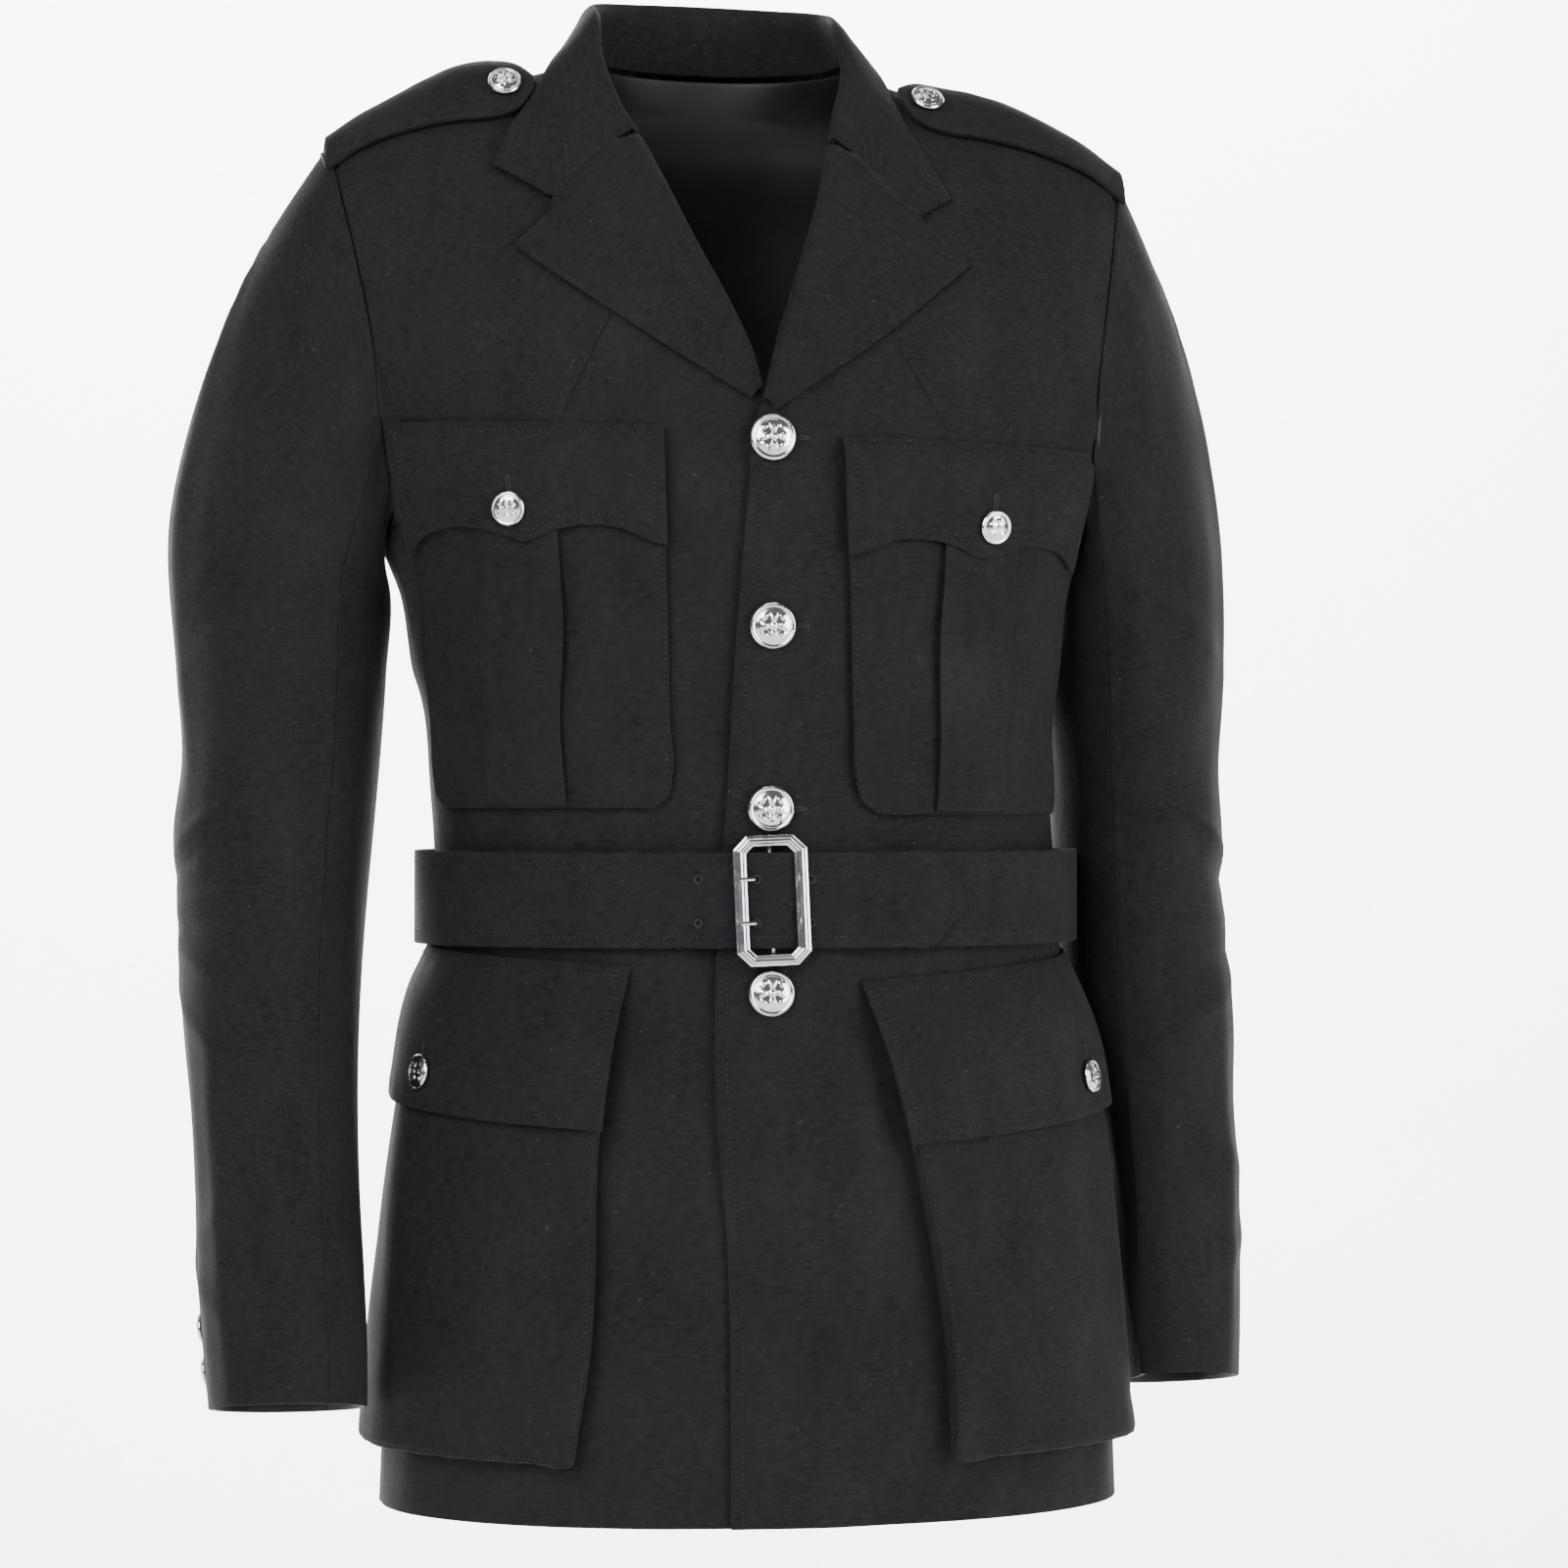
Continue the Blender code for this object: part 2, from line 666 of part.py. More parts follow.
def sleeve_point(side, angle, row):
    """A point of a sleeve's outer face: rows count down from the armhole."""
    if row < len(CAP_STOPS):
        t = CAP_STOPS[row]
        top, low = armhole_point(side, angle), sleeve_ring(side, angle, CAP_FOOT)
        turn = radians(angle)
        swell = CAP_SWELL[side] * 4 * t * (1 - t) * max(0.0, cos(turn / 1.3)) ** 1.2
        point = top.lerp(low, t)
        point += Vector((side * cos(turn * 0.6), -sin(turn) * 0.5, 0.25 * cos(turn))) * swell
        if t == 0.0:
            return point
    else:
        level = mm(SLEEVE_LEVELS[len(CAP_STOPS) + len(SLEEVE_LEVELS) - 1 - row])
        point = sleeve_ring(side, angle, level)
        if row == len(CAP_STOPS) + len(SLEEVE_LEVELS) - 1:
            point.z += CUFF_TILT * sin(radians(angle))
    if abs(angle) > INNER_ARM_ANGLE and point.z < UNDERARM_Z + mm(30):
        point = clear_of_body(side, point)
    return point


def add_sleeve_half(side, name, first, last, columns):
    rows = len(CAP_STOPS) + len(SLEEVE_LEVELS) - 1
    seam = SLEEVE_SEAM_HALF[side]

    def place(u, v):
        spread = u if side == LEFT else 1 - u
        angle = first - seam + (last - first + 2 * seam) * spread
        return sleeve_point(side, angle, round((1 - v) * rows))

    add_sheet(name, columns, rows, place, CLOTH)


# Epaulettes: straps along the shoulders from the sleeve seam to a rounded end.

EPAULETTE_OUTER_X = 0.2110
EPAULETTE_END_X = {RIGHT: 0.1045, LEFT: 0.0895}
EPAULETTE_LIFT = 4.9 * MM
EPAULETTE_HUMP = {RIGHT: 9.0 * MM, LEFT: 3.0 * MM}
EPAULETTE_STOPS = [0.0, 0.16, 0.32, 0.48, 0.64, 0.8, 0.92, 1.0]
# y of the strap's back edge at its sleeve end and at its neck end
EPAULETTE_BACK_Y = (18.0 * MM, 0.0 * MM)
EPAULETTE_THICKNESS = 2.4 * MM
EPAULETTE_ROWS = 5
EPAULETTE_ROUND_END = 24.0 * MM
EPAULETTE_HUMP_X, EPAULETTE_HUMP_HALF = 0.135, 32.0 * MM
NECK_END_SHARE = 0.8
END_SHARE = 0.2
WALK_STEP = 1.5 * MM


def epaulette_half_width(side, x):
    inward = x - EPAULETTE_END_X[side]
    length = EPAULETTE_OUTER_X - EPAULETTE_END_X[side]
    taper = NECK_END_SHARE + (1 - NECK_END_SHARE) * inward / length
    end = min(inward / EPAULETTE_ROUND_END, 1.0)
    rounding = END_SHARE + (1 - END_SHARE) * (1 - (1 - end) ** 2) ** 0.5
    return EPAULETTE_WIDTH / 2 * taper * rounding


def epaulette_point(side, x, across):
    """A point of the strap, with across counted along the shoulder from its back edge."""
    inward = (EPAULETTE_OUTER_X - x) / (EPAULETTE_OUTER_X - EPAULETTE_END_X[side])
    y = EPAULETTE_BACK_Y[0] + (EPAULETTE_BACK_Y[1] - EPAULETTE_BACK_Y[0]) * min(inward * 1.2, 1.0)
    z = top_level(x, y)
    step = WALK_STEP
    gone = 0.0
    while gone < across - 1e-6:
        next_z = top_level(x, y - step)
        length = hypot(step, next_z - z)
        share = min((across - gone) / length, 1.0)
        y, z = y - step * share, z + (next_z - z) * share
        gone += length * share
    hump = EPAULETTE_HUMP[side] * bump(x - EPAULETTE_HUMP_X, EPAULETTE_HUMP_HALF)
    hump *= 1 - across / EPAULETTE_WIDTH
    return on_shoulder(side * x, y, EPAULETTE_LIFT + hump)


def add_epaulette(side, name):
    end_x = EPAULETTE_END_X[side]

    def place(u, v):
        t = EPAULETTE_STOPS[round((u if side == RIGHT else 1 - u) * (len(EPAULETTE_STOPS) - 1))]
        x = EPAULETTE_OUTER_X + (end_x - EPAULETTE_OUTER_X) * t
        across = EPAULETTE_WIDTH / 2 + epaulette_half_width(side, x) * (1 - 2 * v)
        return epaulette_point(side, x, across)

    add_sheet(name, len(EPAULETTE_STOPS) - 1, EPAULETTE_ROWS, place, EPAULETTE_THICKNESS)


# Breast pockets: a patch with a box pleat, and a scalloped flap over its mouth.

# side: flap top, mouth, bottom, pleat lean at the bottom
BREAST = {RIGHT: (-207, -221, -402, 2), LEFT: (-210, -224, -405, -10)}
BREAST_S = (47, 191)
BREAST_LIFT = 4.0 * MM
PLEAT_RAISE = 1.4 * MM
# s of each column, 1 on the raised pleat and 0 beside it, share of the pleat's lean
BREAST_COLUMNS = [(47, 0, 0), (73, 0, 0.4), (99.5, 0, 1), (102.5, 1, 1), (122, 1, 1),
                  (141.5, 1, 1), (144.5, 0, 1), (168, 0, 0.4), (193, 0, 0)]
# height above the bottom, inset of the side edges
BREAST_ROWS = [(0, 12), (5, 4), (17, 0), (45, 0), (80, 0), (115, 0), (150, 0)]
FLAP_GAP = 2.4 * MM
BREAST_FLAP_COLUMNS = 12
BREAST_CORNER = 40 * MM
# drop as a share of the flap's depth, lift of the outer face
BREAST_FLAP_LIFT = BREAST_LIFT + PLEAT_RAISE + FLAP_GAP
BREAST_FLAP_ROWS = [(0.0, 2.6 * MM), (0.12, 7.2 * MM), (0.4, BREAST_FLAP_LIFT),
                    (0.7, BREAST_FLAP_LIFT), (1.0, BREAST_FLAP_LIFT)]
# s of the flap's side edges: inner, outer at the top, outer at the lower edge
BREAST_FLAP_S = (46, 191, 186)
BREAST_BUTTON_S, BREAST_BUTTON_DROP = 0.125, 43.0 * MM
# share of the width from the inner side, drop from the flap's top: the flap's lower edge
BREAST_FLAP_EDGE = [(0, 62), (5, 61), (14, 54), (30, 51.5), (42, 55), (52, 60), (62, 55),
                    (76, 51.5), (90, 55), (100, 64)]


def add_breast_pocket(side, name):
    _top, mouth, bottom, lean = (mm(v) for v in BREAST[side])
    columns, rows = len(BREAST_COLUMNS) - 1, len(BREAST_ROWS)
    middle = mm(sum(BREAST_S)) / 2

    def place(u, v):
        s, raised, lean_share = BREAST_COLUMNS[round((u if side == LEFT else 1 - u) * columns)]
        row = round(v * rows)
        height, inset = BREAST_ROWS[row] if row < rows else (0, 0)
        level = bottom + mm(height) if row < rows else mouth
        drop = (mouth - level) / (mouth - bottom)
        s = mm(s) + lean * drop * lean_share
        if s < middle - BREAST_CORNER:
            s += mm(inset)
        elif s > middle + BREAST_CORNER:
            s -= mm(inset)
        return on_panel(side, s, level, BREAST_LIFT + PLEAT_RAISE * raised)

    add_sheet(name, columns, rows, place, TRIM_CLOTH)


def flap_drop(table, share):
    return mm(smooth(table, share * 100, 1))


def add_breast_flap(side, name):
    top = mm(BREAST[side][0])
    rows = len(BREAST_FLAP_ROWS) - 1
    inner, outer_top, outer_low = (mm(s) for s in BREAST_FLAP_S)

    def place(u, v):
        share = u if side == LEFT else 1 - u
        drop, lift = BREAST_FLAP_ROWS[round((1 - v) * rows)]
        outer = outer_top + (outer_low - outer_top) * drop
        level = top - flap_drop(BREAST_FLAP_EDGE, share) * drop
        return on_panel(side, inner + (outer - inner) * share, level, lift)

    add_sheet(name, BREAST_FLAP_COLUMNS, rows, place, TRIM_CLOTH)


# Hip pockets: bellows patches that stand out on a gusset, each with a flap.

# level, s of the inner edge from the front's middle, right and left
HIP_INNER = [(-736, 104, 92), (-669, 94, 88), (-565, 89.5, 68), (-480, 75, 46)]
HIP_OUTER_S = 0.282
HIP_LEVELS = [-736, -736, -735, -715, -680, -640, -600, -560]
HIP_MOUTH = {RIGHT: [-525, -500], LEFT: [-533, -512]}
# lift of each row from the bottom, and of the outermost columns, and their fold inwards
HIP_LIFTS = [2.0, 6.0, 9.5, 10.5, 10.5, 10.5, 10.5, 10.0, 8.5, 4.5]
HIP_GUSSET = [2.0, 6.0, 9.5]
HIP_PINCH = [0.0, 1.4, -0.4]
HIP_CORNER_STEP = 1.6 * MM
HIP_MOUTH_STEP = 2.0 * MM
HIP_FLAT_COLUMNS = 6
HIP_FLAP_COLUMNS = 14
# drop as a share of the flap's depth, lift of the outer face
HIP_FLAP_ROWS = [(0.0, 2.4), (0.1, 5.4), (0.28, 10.5), (0.5, 13.6), (0.76, 14.4), (1.0, 14.6)]
HIP_FLAP_OVERHANG = 3.0 * MM
HIP_FLAP_TOP = [(0, -483, -491), (40, -478, -484), (100, -471, -474)]
HIP_FLAP_EDGE = [(0, 84.5), (50, 84), (100, 79)]


def hip_inner_s(side, level):
    return mm(smooth(HIP_INNER, level / MM, 1 if side == RIGHT else 2))


def gusset_inset(ring_index, steps, height):
    """How far in from the outline a point of the gusset lies, with its corners mitred."""
    fold = mm(HIP_PINCH[ring_index]) * height + ring_index * HIP_MOUTH_STEP * (1 - height)
    return fold + (steps - ring_index) * HIP_CORNER_STEP


def add_hip_pocket(side, name):
    levels = HIP_LEVELS + HIP_MOUTH[side]
    rows = len(levels) - 1
    gusset = len(HIP_GUSSET)
    columns = HIP_FLAT_COLUMNS + 2 * gusset

    def place(u, v):
        row = round(v * rows)
        column = round((u if side == LEFT else 1 - u) * columns)
        from_end = min(column, columns - column)
        ring_index = min(from_end, row, gusset)
        level = mm(levels[row])
        height = 1.0
        if row < gusset:
            level = mm(levels[0]) + gusset_inset(ring_index, row, height)
        else:
            height = (HIP_LIFTS[row] - HIP_GUSSET[0]) / (max(HIP_LIFTS) - HIP_GUSSET[0])
        lift = HIP_LIFTS[row]
        if ring_index < gusset:
            lift = HIP_GUSSET[0] + (HIP_GUSSET[ring_index] - HIP_GUSSET[0]) * height
        inner = hip_inner_s(side, level)
        if from_end < gusset:
            inset = gusset_inset(ring_index, from_end, height)
            s = inner + inset if column < gusset else HIP_OUTER_S - inset
        else:
            t = (column - gusset + 1) / (HIP_FLAT_COLUMNS + 2)
            s = inner + (HIP_OUTER_S - inner) * t
        return on_panel(side, s, level, mm(lift))

    add_sheet(name, columns, rows, place, TRIM_CLOTH)


def add_hip_flap(side, name):
    rows = len(HIP_FLAP_ROWS) - 1

    def place(u, v):
        share = u if side == LEFT else 1 - u
        drop, lift = HIP_FLAP_ROWS[round((1 - v) * rows)]
        top = mm(smooth(HIP_FLAP_TOP, share * 100, 1 if side == RIGHT else 2))
        level = top - flap_drop(HIP_FLAP_EDGE, share) * drop
        inner = hip_inner_s(side, level) - HIP_FLAP_OVERHANG
        s = inner + (HIP_OUTER_S + HIP_FLAP_OVERHANG - inner) * share
        return on_panel(side, s, level, mm(lift))

    add_sheet(name, HIP_FLAP_COLUMNS, rows, place, TRIM_CLOTH)


# The belt: one strip, from under the tongue all the way round to its pointed tip.

# s from the front's middle, lift of the outer face: the start, and the end one turn later
BELT_START = [(0, 7.5), (25, 7.5), (60, 7.4), (100, 7.6), (140, 8.6), (175, 10), (210, 11),
              (240, 11), (275, 9.5), (310, 7.8)]
BELT_END = [(-310, 7.8), (-275, 9.5), (-240, 11), (-210, 11), (-175, 10), (-140, 8.6), (-100, 7.6),
            (-62, 7.4), (-38, 8.3), (-24, 10.2), (-17, 10.4), (-12, 10.7), (-6, 13.4), (0, 14.2),
            (6, 12.8), (12, 10.7), (22, 10.5), (45, 10.4), (70, 10.4), (83, 10.4), (93, 10.4),
            (106, 10.4)]
BELT_BACK_COLUMNS = 12
BELT_BACK_LIFT = 7.4 * MM
BELT_ROWS = 3
TIP_SHARE = 0.06
BUCKLE_S = -1.5 * MM
TIP_START_S, TIP_S = 0.083, 0.106
EYELET_X = 7.5 * MM
EYELET_RISE = 11.25 * MM
EYELET_RADIUS = 2.6 * MM
EYELET_CUT_LIFT, EYELET_CUT_DEPTH = 12.0 * MM, 8.0 * MM
ROUND_SIDES = 10


def belt_run():
    """The belt's stops, as (s, lift, half width), from its start to its tip."""
    girth = 2 * s_round(BELT_Z)
    stops = [(mm(s) + BUCKLE_S, mm(lift)) for s, lift in BELT_START]
    first, last = stops[-1][0], girth + mm(BELT_END[0][0])
    for i in range(1, BELT_BACK_COLUMNS):
        stops.append((first + (last - first) * i / BELT_BACK_COLUMNS, BELT_BACK_LIFT))
    stops += [(girth + mm(s) + BUCKLE_S, mm(lift)) for s, lift in BELT_END]
    widths = []
    for s, lift in stops:
        past = (s - girth - BUCKLE_S - TIP_START_S) / (TIP_S - TIP_START_S)
        taper = 1.0 if past <= 0 else max(TIP_SHARE, 1 - past)
        widths.append((s, lift, BELT_WIDTH / 2 * taper))
    return widths


def add_cutter(name, mesh):
    cutter = bpy.data.objects.new(name, mesh)
    CUTTERS.objects.link(cutter)
    cutter.display_type = "WIRE"
    cutter.hide_render = True
    return cutter


def rod_mesh(name, radius, length, matrix):
    bm = bmesh.new()
    bmesh.ops.create_cone(bm, cap_ends=True, segments=ROUND_SIDES, radius1=radius,
                          radius2=radius, depth=length, matrix=matrix)
    mesh = bpy.data.meshes.new(name)
    bm.to_mesh(mesh)
    bm.free()
    return mesh


def seat(s, level, lift, tilt=0.0):
    """The frame of a hard piece on the body: X along, Y up, Z out."""
    out = body_normal(s, level)
    along = Vector((0, 0, 1)).cross(out).normalized()
    frame = Matrix((along, out.cross(along), out)).transposed().to_4x4()
    place = Matrix.Translation(on_body(s, level) + out * lift)
    return place @ frame @ Matrix.Rotation(tilt, 4, "Z")


def add_belt():
    run = belt_run()
    columns = len(run) - 1

    def place(u, v):
        s, lift, half = run[round(u * columns)]
        rise = Vector((0, 0, half * (2 * v - 1)))
        return bare_body(s, BELT_Z) + body_normal(s, BELT_Z) * lift + rise

    belt = add_sheet("belt", columns, BELT_ROWS, place, BELT_THICKNESS)
    frame = seat(BUCKLE_S, BELT_Z, 0.0, BUCKLE_TILT)
    for rise in (EYELET_RISE, -EYELET_RISE):
        hole = Matrix.Translation((-EYELET_X, rise, EYELET_CUT_LIFT))
        mesh = rod_mesh("eyelet_hole", EYELET_RADIUS, EYELET_CUT_DEPTH, frame @ hole)
        cut = belt.modifiers.new("eyelet", "BOOLEAN")
        cut.operation = "DIFFERENCE"
        cut.solver = "EXACT"
        cut.object = add_cutter("eyelet_hole", mesh)


# The buckle: a bevelled eight-sided frame with a centre bar, and two prongs.

BUCKLE_WIDTH, BUCKLE_HEIGHT = 38.8 * MM, 67.0 * MM
WINDOW_WIDTH, WINDOW_HEIGHT = 24.5 * MM, 55.6 * MM
BUCKLE_CORNER = 7.0 * MM
BUCKLE_BACK, BUCKLE_FRONT = 11.5 * MM, 14.9 * MM
BUCKLE_TILT = radians(2.3)
BAR_LIFT = 9.4 * MM
BAR_RADIUS = 1.3 * MM
BAR_END_INSET = 2.4 * MM
LUG_RADIUS, LUG_DEPTH, LUG_INSET = 2.2 * MM, 4.4 * MM, 1.4 * MM
LUG_LIFT = (BAR_LIFT + BUCKLE_BACK) / 2 + 0.4 * MM
BUCKLE_BEVEL = 1.0 * MM
PRONG_RADIUS = 1.1 * MM
# across from the centre bar, out from the body: a prong's bend, from the bar to its tip
PRONG_PATH = [(-2.8, 9.3), (-5.0, 9.7), (-7.6, 11.8), (-9.4, 14.3), (-12.0, 16.2), (-16.5, 16.4)]


def octagon(width, height, corner):
    x, y = width / 2, height / 2
    return [(x, y - corner), (x - corner, y), (-x + corner, y), (-x, y - corner),
            (-x, -y + corner), (-x + corner, -y), (x - corner, -y), (x, -y + corner)]


def add_buckle():
    bm = bmesh.new()
    outer = [bm.verts.new((x, y, BUCKLE_BACK)) for x, y in
             octagon(BUCKLE_WIDTH, BUCKLE_HEIGHT, BUCKLE_CORNER)]
    inner = [bm.verts.new((x, y, BUCKLE_BACK)) for x, y in
             octagon(WINDOW_WIDTH, WINDOW_HEIGHT, BUCKLE_CORNER * 0.5)]
    loops = []
    for loop in (outer, inner):
        loops += [bm.edges.new((loop[i], loop[(i + 1) % 8])) for i in range(8)]
    faces = bmesh.ops.bridge_loops(bm, edges=loops)["faces"]
    lifted = bmesh.ops.extrude_face_region(bm, geom=faces)["geom"]
    verts = [item for item in lifted if isinstance(item, bmesh.types.BMVert)]
    bmesh.ops.translate(bm, verts=verts, vec=(0, 0, BUCKLE_FRONT - BUCKLE_BACK))
    bmesh.ops.recalc_face_normals(bm, faces=bm.faces)
    frame = seat(BUCKLE_S, BELT_Z, 0.0, BUCKLE_TILT)
    bm.transform(frame)
    mesh = bpy.data.meshes.new("buckle")
    bm.to_mesh(mesh)
    bm.free()
    buckle = add_object("buckle", mesh, CHROME)
    edges = buckle.modifiers.new("bevelled edges", "BEVEL")
    edges.width = BUCKLE_BEVEL
    edges.segments = 1
    bar_half = BUCKLE_HEIGHT / 2 - BAR_END_INSET
    upright = Matrix.Translation((0, 0, BAR_LIFT)) @ Matrix.Rotation(radians(90), 4, "X")
    pieces = [("bar", BAR_RADIUS, 2 * bar_half, upright)]
    for rise in (bar_half - LUG_INSET, LUG_INSET - bar_half):
        pieces.append(("lug", LUG_RADIUS, LUG_DEPTH, Matrix.Translation((0, rise, LUG_LIFT))))
    for name, radius, length, matrix in pieces:
        join = buckle.modifiers.new(name, "BOOLEAN")
        join.operation = "UNION"
        join.solver = "EXACT"
        join.object = add_cutter(name, rod_mesh(name, radius, length, frame @ matrix))


def add_prong(name, rise):
    curve = bpy.data.curves.new(name, "CURVE")
    curve.dimensions = "3D"
    curve.bevel_depth = PRONG_RADIUS
    curve.bevel_resolution = 2
    curve.use_fill_caps = True
    path = curve.splines.new("POLY")
    path.points.add(len(PRONG_PATH) - 1)
    frame = seat(BUCKLE_S, BELT_Z, 0.0, BUCKLE_TILT)
    for point, (across, out) in zip(path.points, PRONG_PATH):
        point.co = (*(frame @ Vector((mm(across), rise, mm(out)))), 1.0)
    add_object(name, curve, CHROME)


# Buttons: a domed cap with a rim, turned from one profile.

# share of the radius, height as a share of the radius
BUTTON_PROFILE = [(0.0, 0.40), (0.5, 0.35), (0.86, 0.22), (1.0, 0.13), (0.96, 0.0), (0.0, 0.0)]
BUTTON_SIDES = 12


def button_mesh(name, radius):
    mesh = bpy.data.meshes.new(name)
    bm = bmesh.new()
    line = [bm.verts.new((share * radius, 0, height * radius)) for share, height in BUTTON_PROFILE]
    for a, b in zip(line, line[1:]):
        bm.edges.new((a, b))
    bmesh.ops.spin(bm, geom=bm.verts[:] + bm.edges[:], cent=(0, 0, 0), axis=(0, 0, 1),
                   angle=2 * pi, steps=BUTTON_SIDES, use_merge=True)
    bmesh.ops.remove_doubles(bm, verts=bm.verts, dist=0.01 * MM)
    bmesh.ops.recalc_face_normals(bm, faces=bm.faces)
    bm.to_mesh(mesh)
    bm.free()
    mesh.shade_smooth()
    mesh.set_sharp_from_angle(angle=radians(50))
    return mesh


BUTTON = button_mesh("button", BUTTON_RADIUS)
SMALL_BUTTON = button_mesh("small_button", SMALL_BUTTON_RADIUS)
BUTTON_GAP = 0.45 * MM
FRONT_BUTTON_X = 0.010
FRONT_BUTTON_LEVELS = [-212, -308, -402, -497]
# s and level
HIP_BUTTONS = {RIGHT: (-188, -541), LEFT: (181, -546)}
HIP_BUTTON_LIFT = 15.1 * MM
EPAULETTE_BUTTON_INSET = 15.0 * MM
CUFF_BUTTON_LEVELS = (-675, -697)
CUFF_BUTTON_ANGLE = -22.0
FRAME_STEP = 5.0 * MM
FRAME_ANGLE = 6.0


def add_button(name, mesh, frame):
    thing = add_object(name, mesh.copy(), CHROME)
    thing.matrix_world = Matrix.Translation(lean(frame.translation) - frame.translation) @ frame


def add_buttons():
    for i, level in enumerate(FRONT_BUTTON_LEVELS):
        s = s_of_x(mm(level), FRONT_BUTTON_X)
        add_button(f"front_button_{i + 1}", BUTTON, seat(s, mm(level), OVERLAP_LIFT + BUTTON_GAP))
    for side, word in ((RIGHT, "right"), (LEFT, "left")):
        breast_top = mm(BREAST[side][0])
        breast_lift = BREAST_FLAP_LIFT + BUTTON_GAP
        add_button(f"breast_button_{word}", SMALL_BUTTON,
                   seat(side * BREAST_BUTTON_S, breast_top - BREAST_BUTTON_DROP, breast_lift))
        hip_s, hip_z = HIP_BUTTONS[side]
        add_button(f"hip_button_{word}", SMALL_BUTTON, seat(mm(hip_s), mm(hip_z), HIP_BUTTON_LIFT))
        add_epaulette_button(side, f"epaulette_button_{word}")
        for number, level in enumerate(CUFF_BUTTON_LEVELS):
            add_cuff_button(side, f"cuff_button_{word}_{number + 1}", mm(level))


def flat_frame(base, ahead, below):
    """A button's frame on a surface through three points: X ahead, Z out."""
    along = (ahead - base).normalized()
    out = along.cross(below - base).normalized()
    frame = Matrix((along, out.cross(along), out)).transposed().to_4x4()
    return Matrix.Translation(base + out * BUTTON_GAP) @ frame


def add_epaulette_button(side, name):
    centre = EPAULETTE_WIDTH / 2
    x = EPAULETTE_END_X[side] + EPAULETTE_BUTTON_INSET
    base = epaulette_point(side, x, centre)
    ahead = epaulette_point(side, x + side * FRAME_STEP, centre)
    below = epaulette_point(side, x, centre - FRAME_STEP)
    add_button(name, SMALL_BUTTON, flat_frame(base, ahead, below))


def add_cuff_button(side, name, level):
    base = sleeve_ring(side, CUFF_BUTTON_ANGLE, level)
    ahead = sleeve_ring(side, CUFF_BUTTON_ANGLE - side * FRAME_ANGLE, level)
    above = sleeve_ring(side, CUFF_BUTTON_ANGLE, level + FRAME_STEP)
    add_button(name, SMALL_BUTTON, flat_frame(base, ahead, above))


add_front(RIGHT, "front_right")
add_front(LEFT, "front_left")
add_back()
add_collar()
for SIDE, WORD in ((RIGHT, "right"), (LEFT, "left")):
    add_lapel(SIDE, f"lapel_{WORD}")
    add_sleeve_half(SIDE, f"sleeve_top_{WORD}", FRONT_SEAM, BACK_SEAM, TOP_COLUMNS)
    add_sleeve_half(SIDE, f"sleeve_under_{WORD}", BACK_SEAM, FRONT_SEAM - 360, UNDER_COLUMNS)
    add_epaulette(SIDE, f"epaulette_{WORD}")
    add_breast_pocket(SIDE, f"breast_pocket_{WORD}")
    add_breast_flap(SIDE, f"breast_flap_{WORD}")
    add_hip_pocket(SIDE, f"hip_pocket_{WORD}")
    add_hip_flap(SIDE, f"hip_flap_{WORD}")
add_belt()
add_buckle()
add_prong("buckle_prong_upper", EYELET_RISE)
add_prong("buckle_prong_lower", -EYELET_RISE)
add_buttons()
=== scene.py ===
"""The looks of a belted police uniform tunic in black wool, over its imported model.

The tables and functions that give the cloth its shape repeat those of the solids, so that each
piece lies where its solid lies. Tables are in millimetres, and mm() turns them to metres.
"""

import json
from bisect import bisect_right
from functools import lru_cache
from math import ceil, cos, exp, floor, hypot, pi, radians, sin

import bmesh
import bpy
import numpy as np
from mathutils import Matrix, Vector

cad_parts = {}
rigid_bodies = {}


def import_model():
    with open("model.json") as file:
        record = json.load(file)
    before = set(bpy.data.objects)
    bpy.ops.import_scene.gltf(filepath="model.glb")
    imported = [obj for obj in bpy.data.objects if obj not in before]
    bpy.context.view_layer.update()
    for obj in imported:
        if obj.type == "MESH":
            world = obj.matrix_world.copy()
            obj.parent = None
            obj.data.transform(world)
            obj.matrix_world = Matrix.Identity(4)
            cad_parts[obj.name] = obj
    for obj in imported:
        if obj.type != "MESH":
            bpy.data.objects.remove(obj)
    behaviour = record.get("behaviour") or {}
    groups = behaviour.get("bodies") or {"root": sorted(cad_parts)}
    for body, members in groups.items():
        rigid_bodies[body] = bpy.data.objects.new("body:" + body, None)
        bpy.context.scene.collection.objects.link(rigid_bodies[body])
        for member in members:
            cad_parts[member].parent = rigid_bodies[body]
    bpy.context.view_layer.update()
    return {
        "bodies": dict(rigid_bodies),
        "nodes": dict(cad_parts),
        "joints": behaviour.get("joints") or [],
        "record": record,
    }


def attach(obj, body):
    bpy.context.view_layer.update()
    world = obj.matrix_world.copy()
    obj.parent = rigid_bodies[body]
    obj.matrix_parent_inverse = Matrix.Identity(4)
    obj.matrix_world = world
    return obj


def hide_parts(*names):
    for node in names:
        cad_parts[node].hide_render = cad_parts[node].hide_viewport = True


for thing in list(bpy.data.objects):
    bpy.data.objects.remove(thing, do_unlink=True)
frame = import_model()

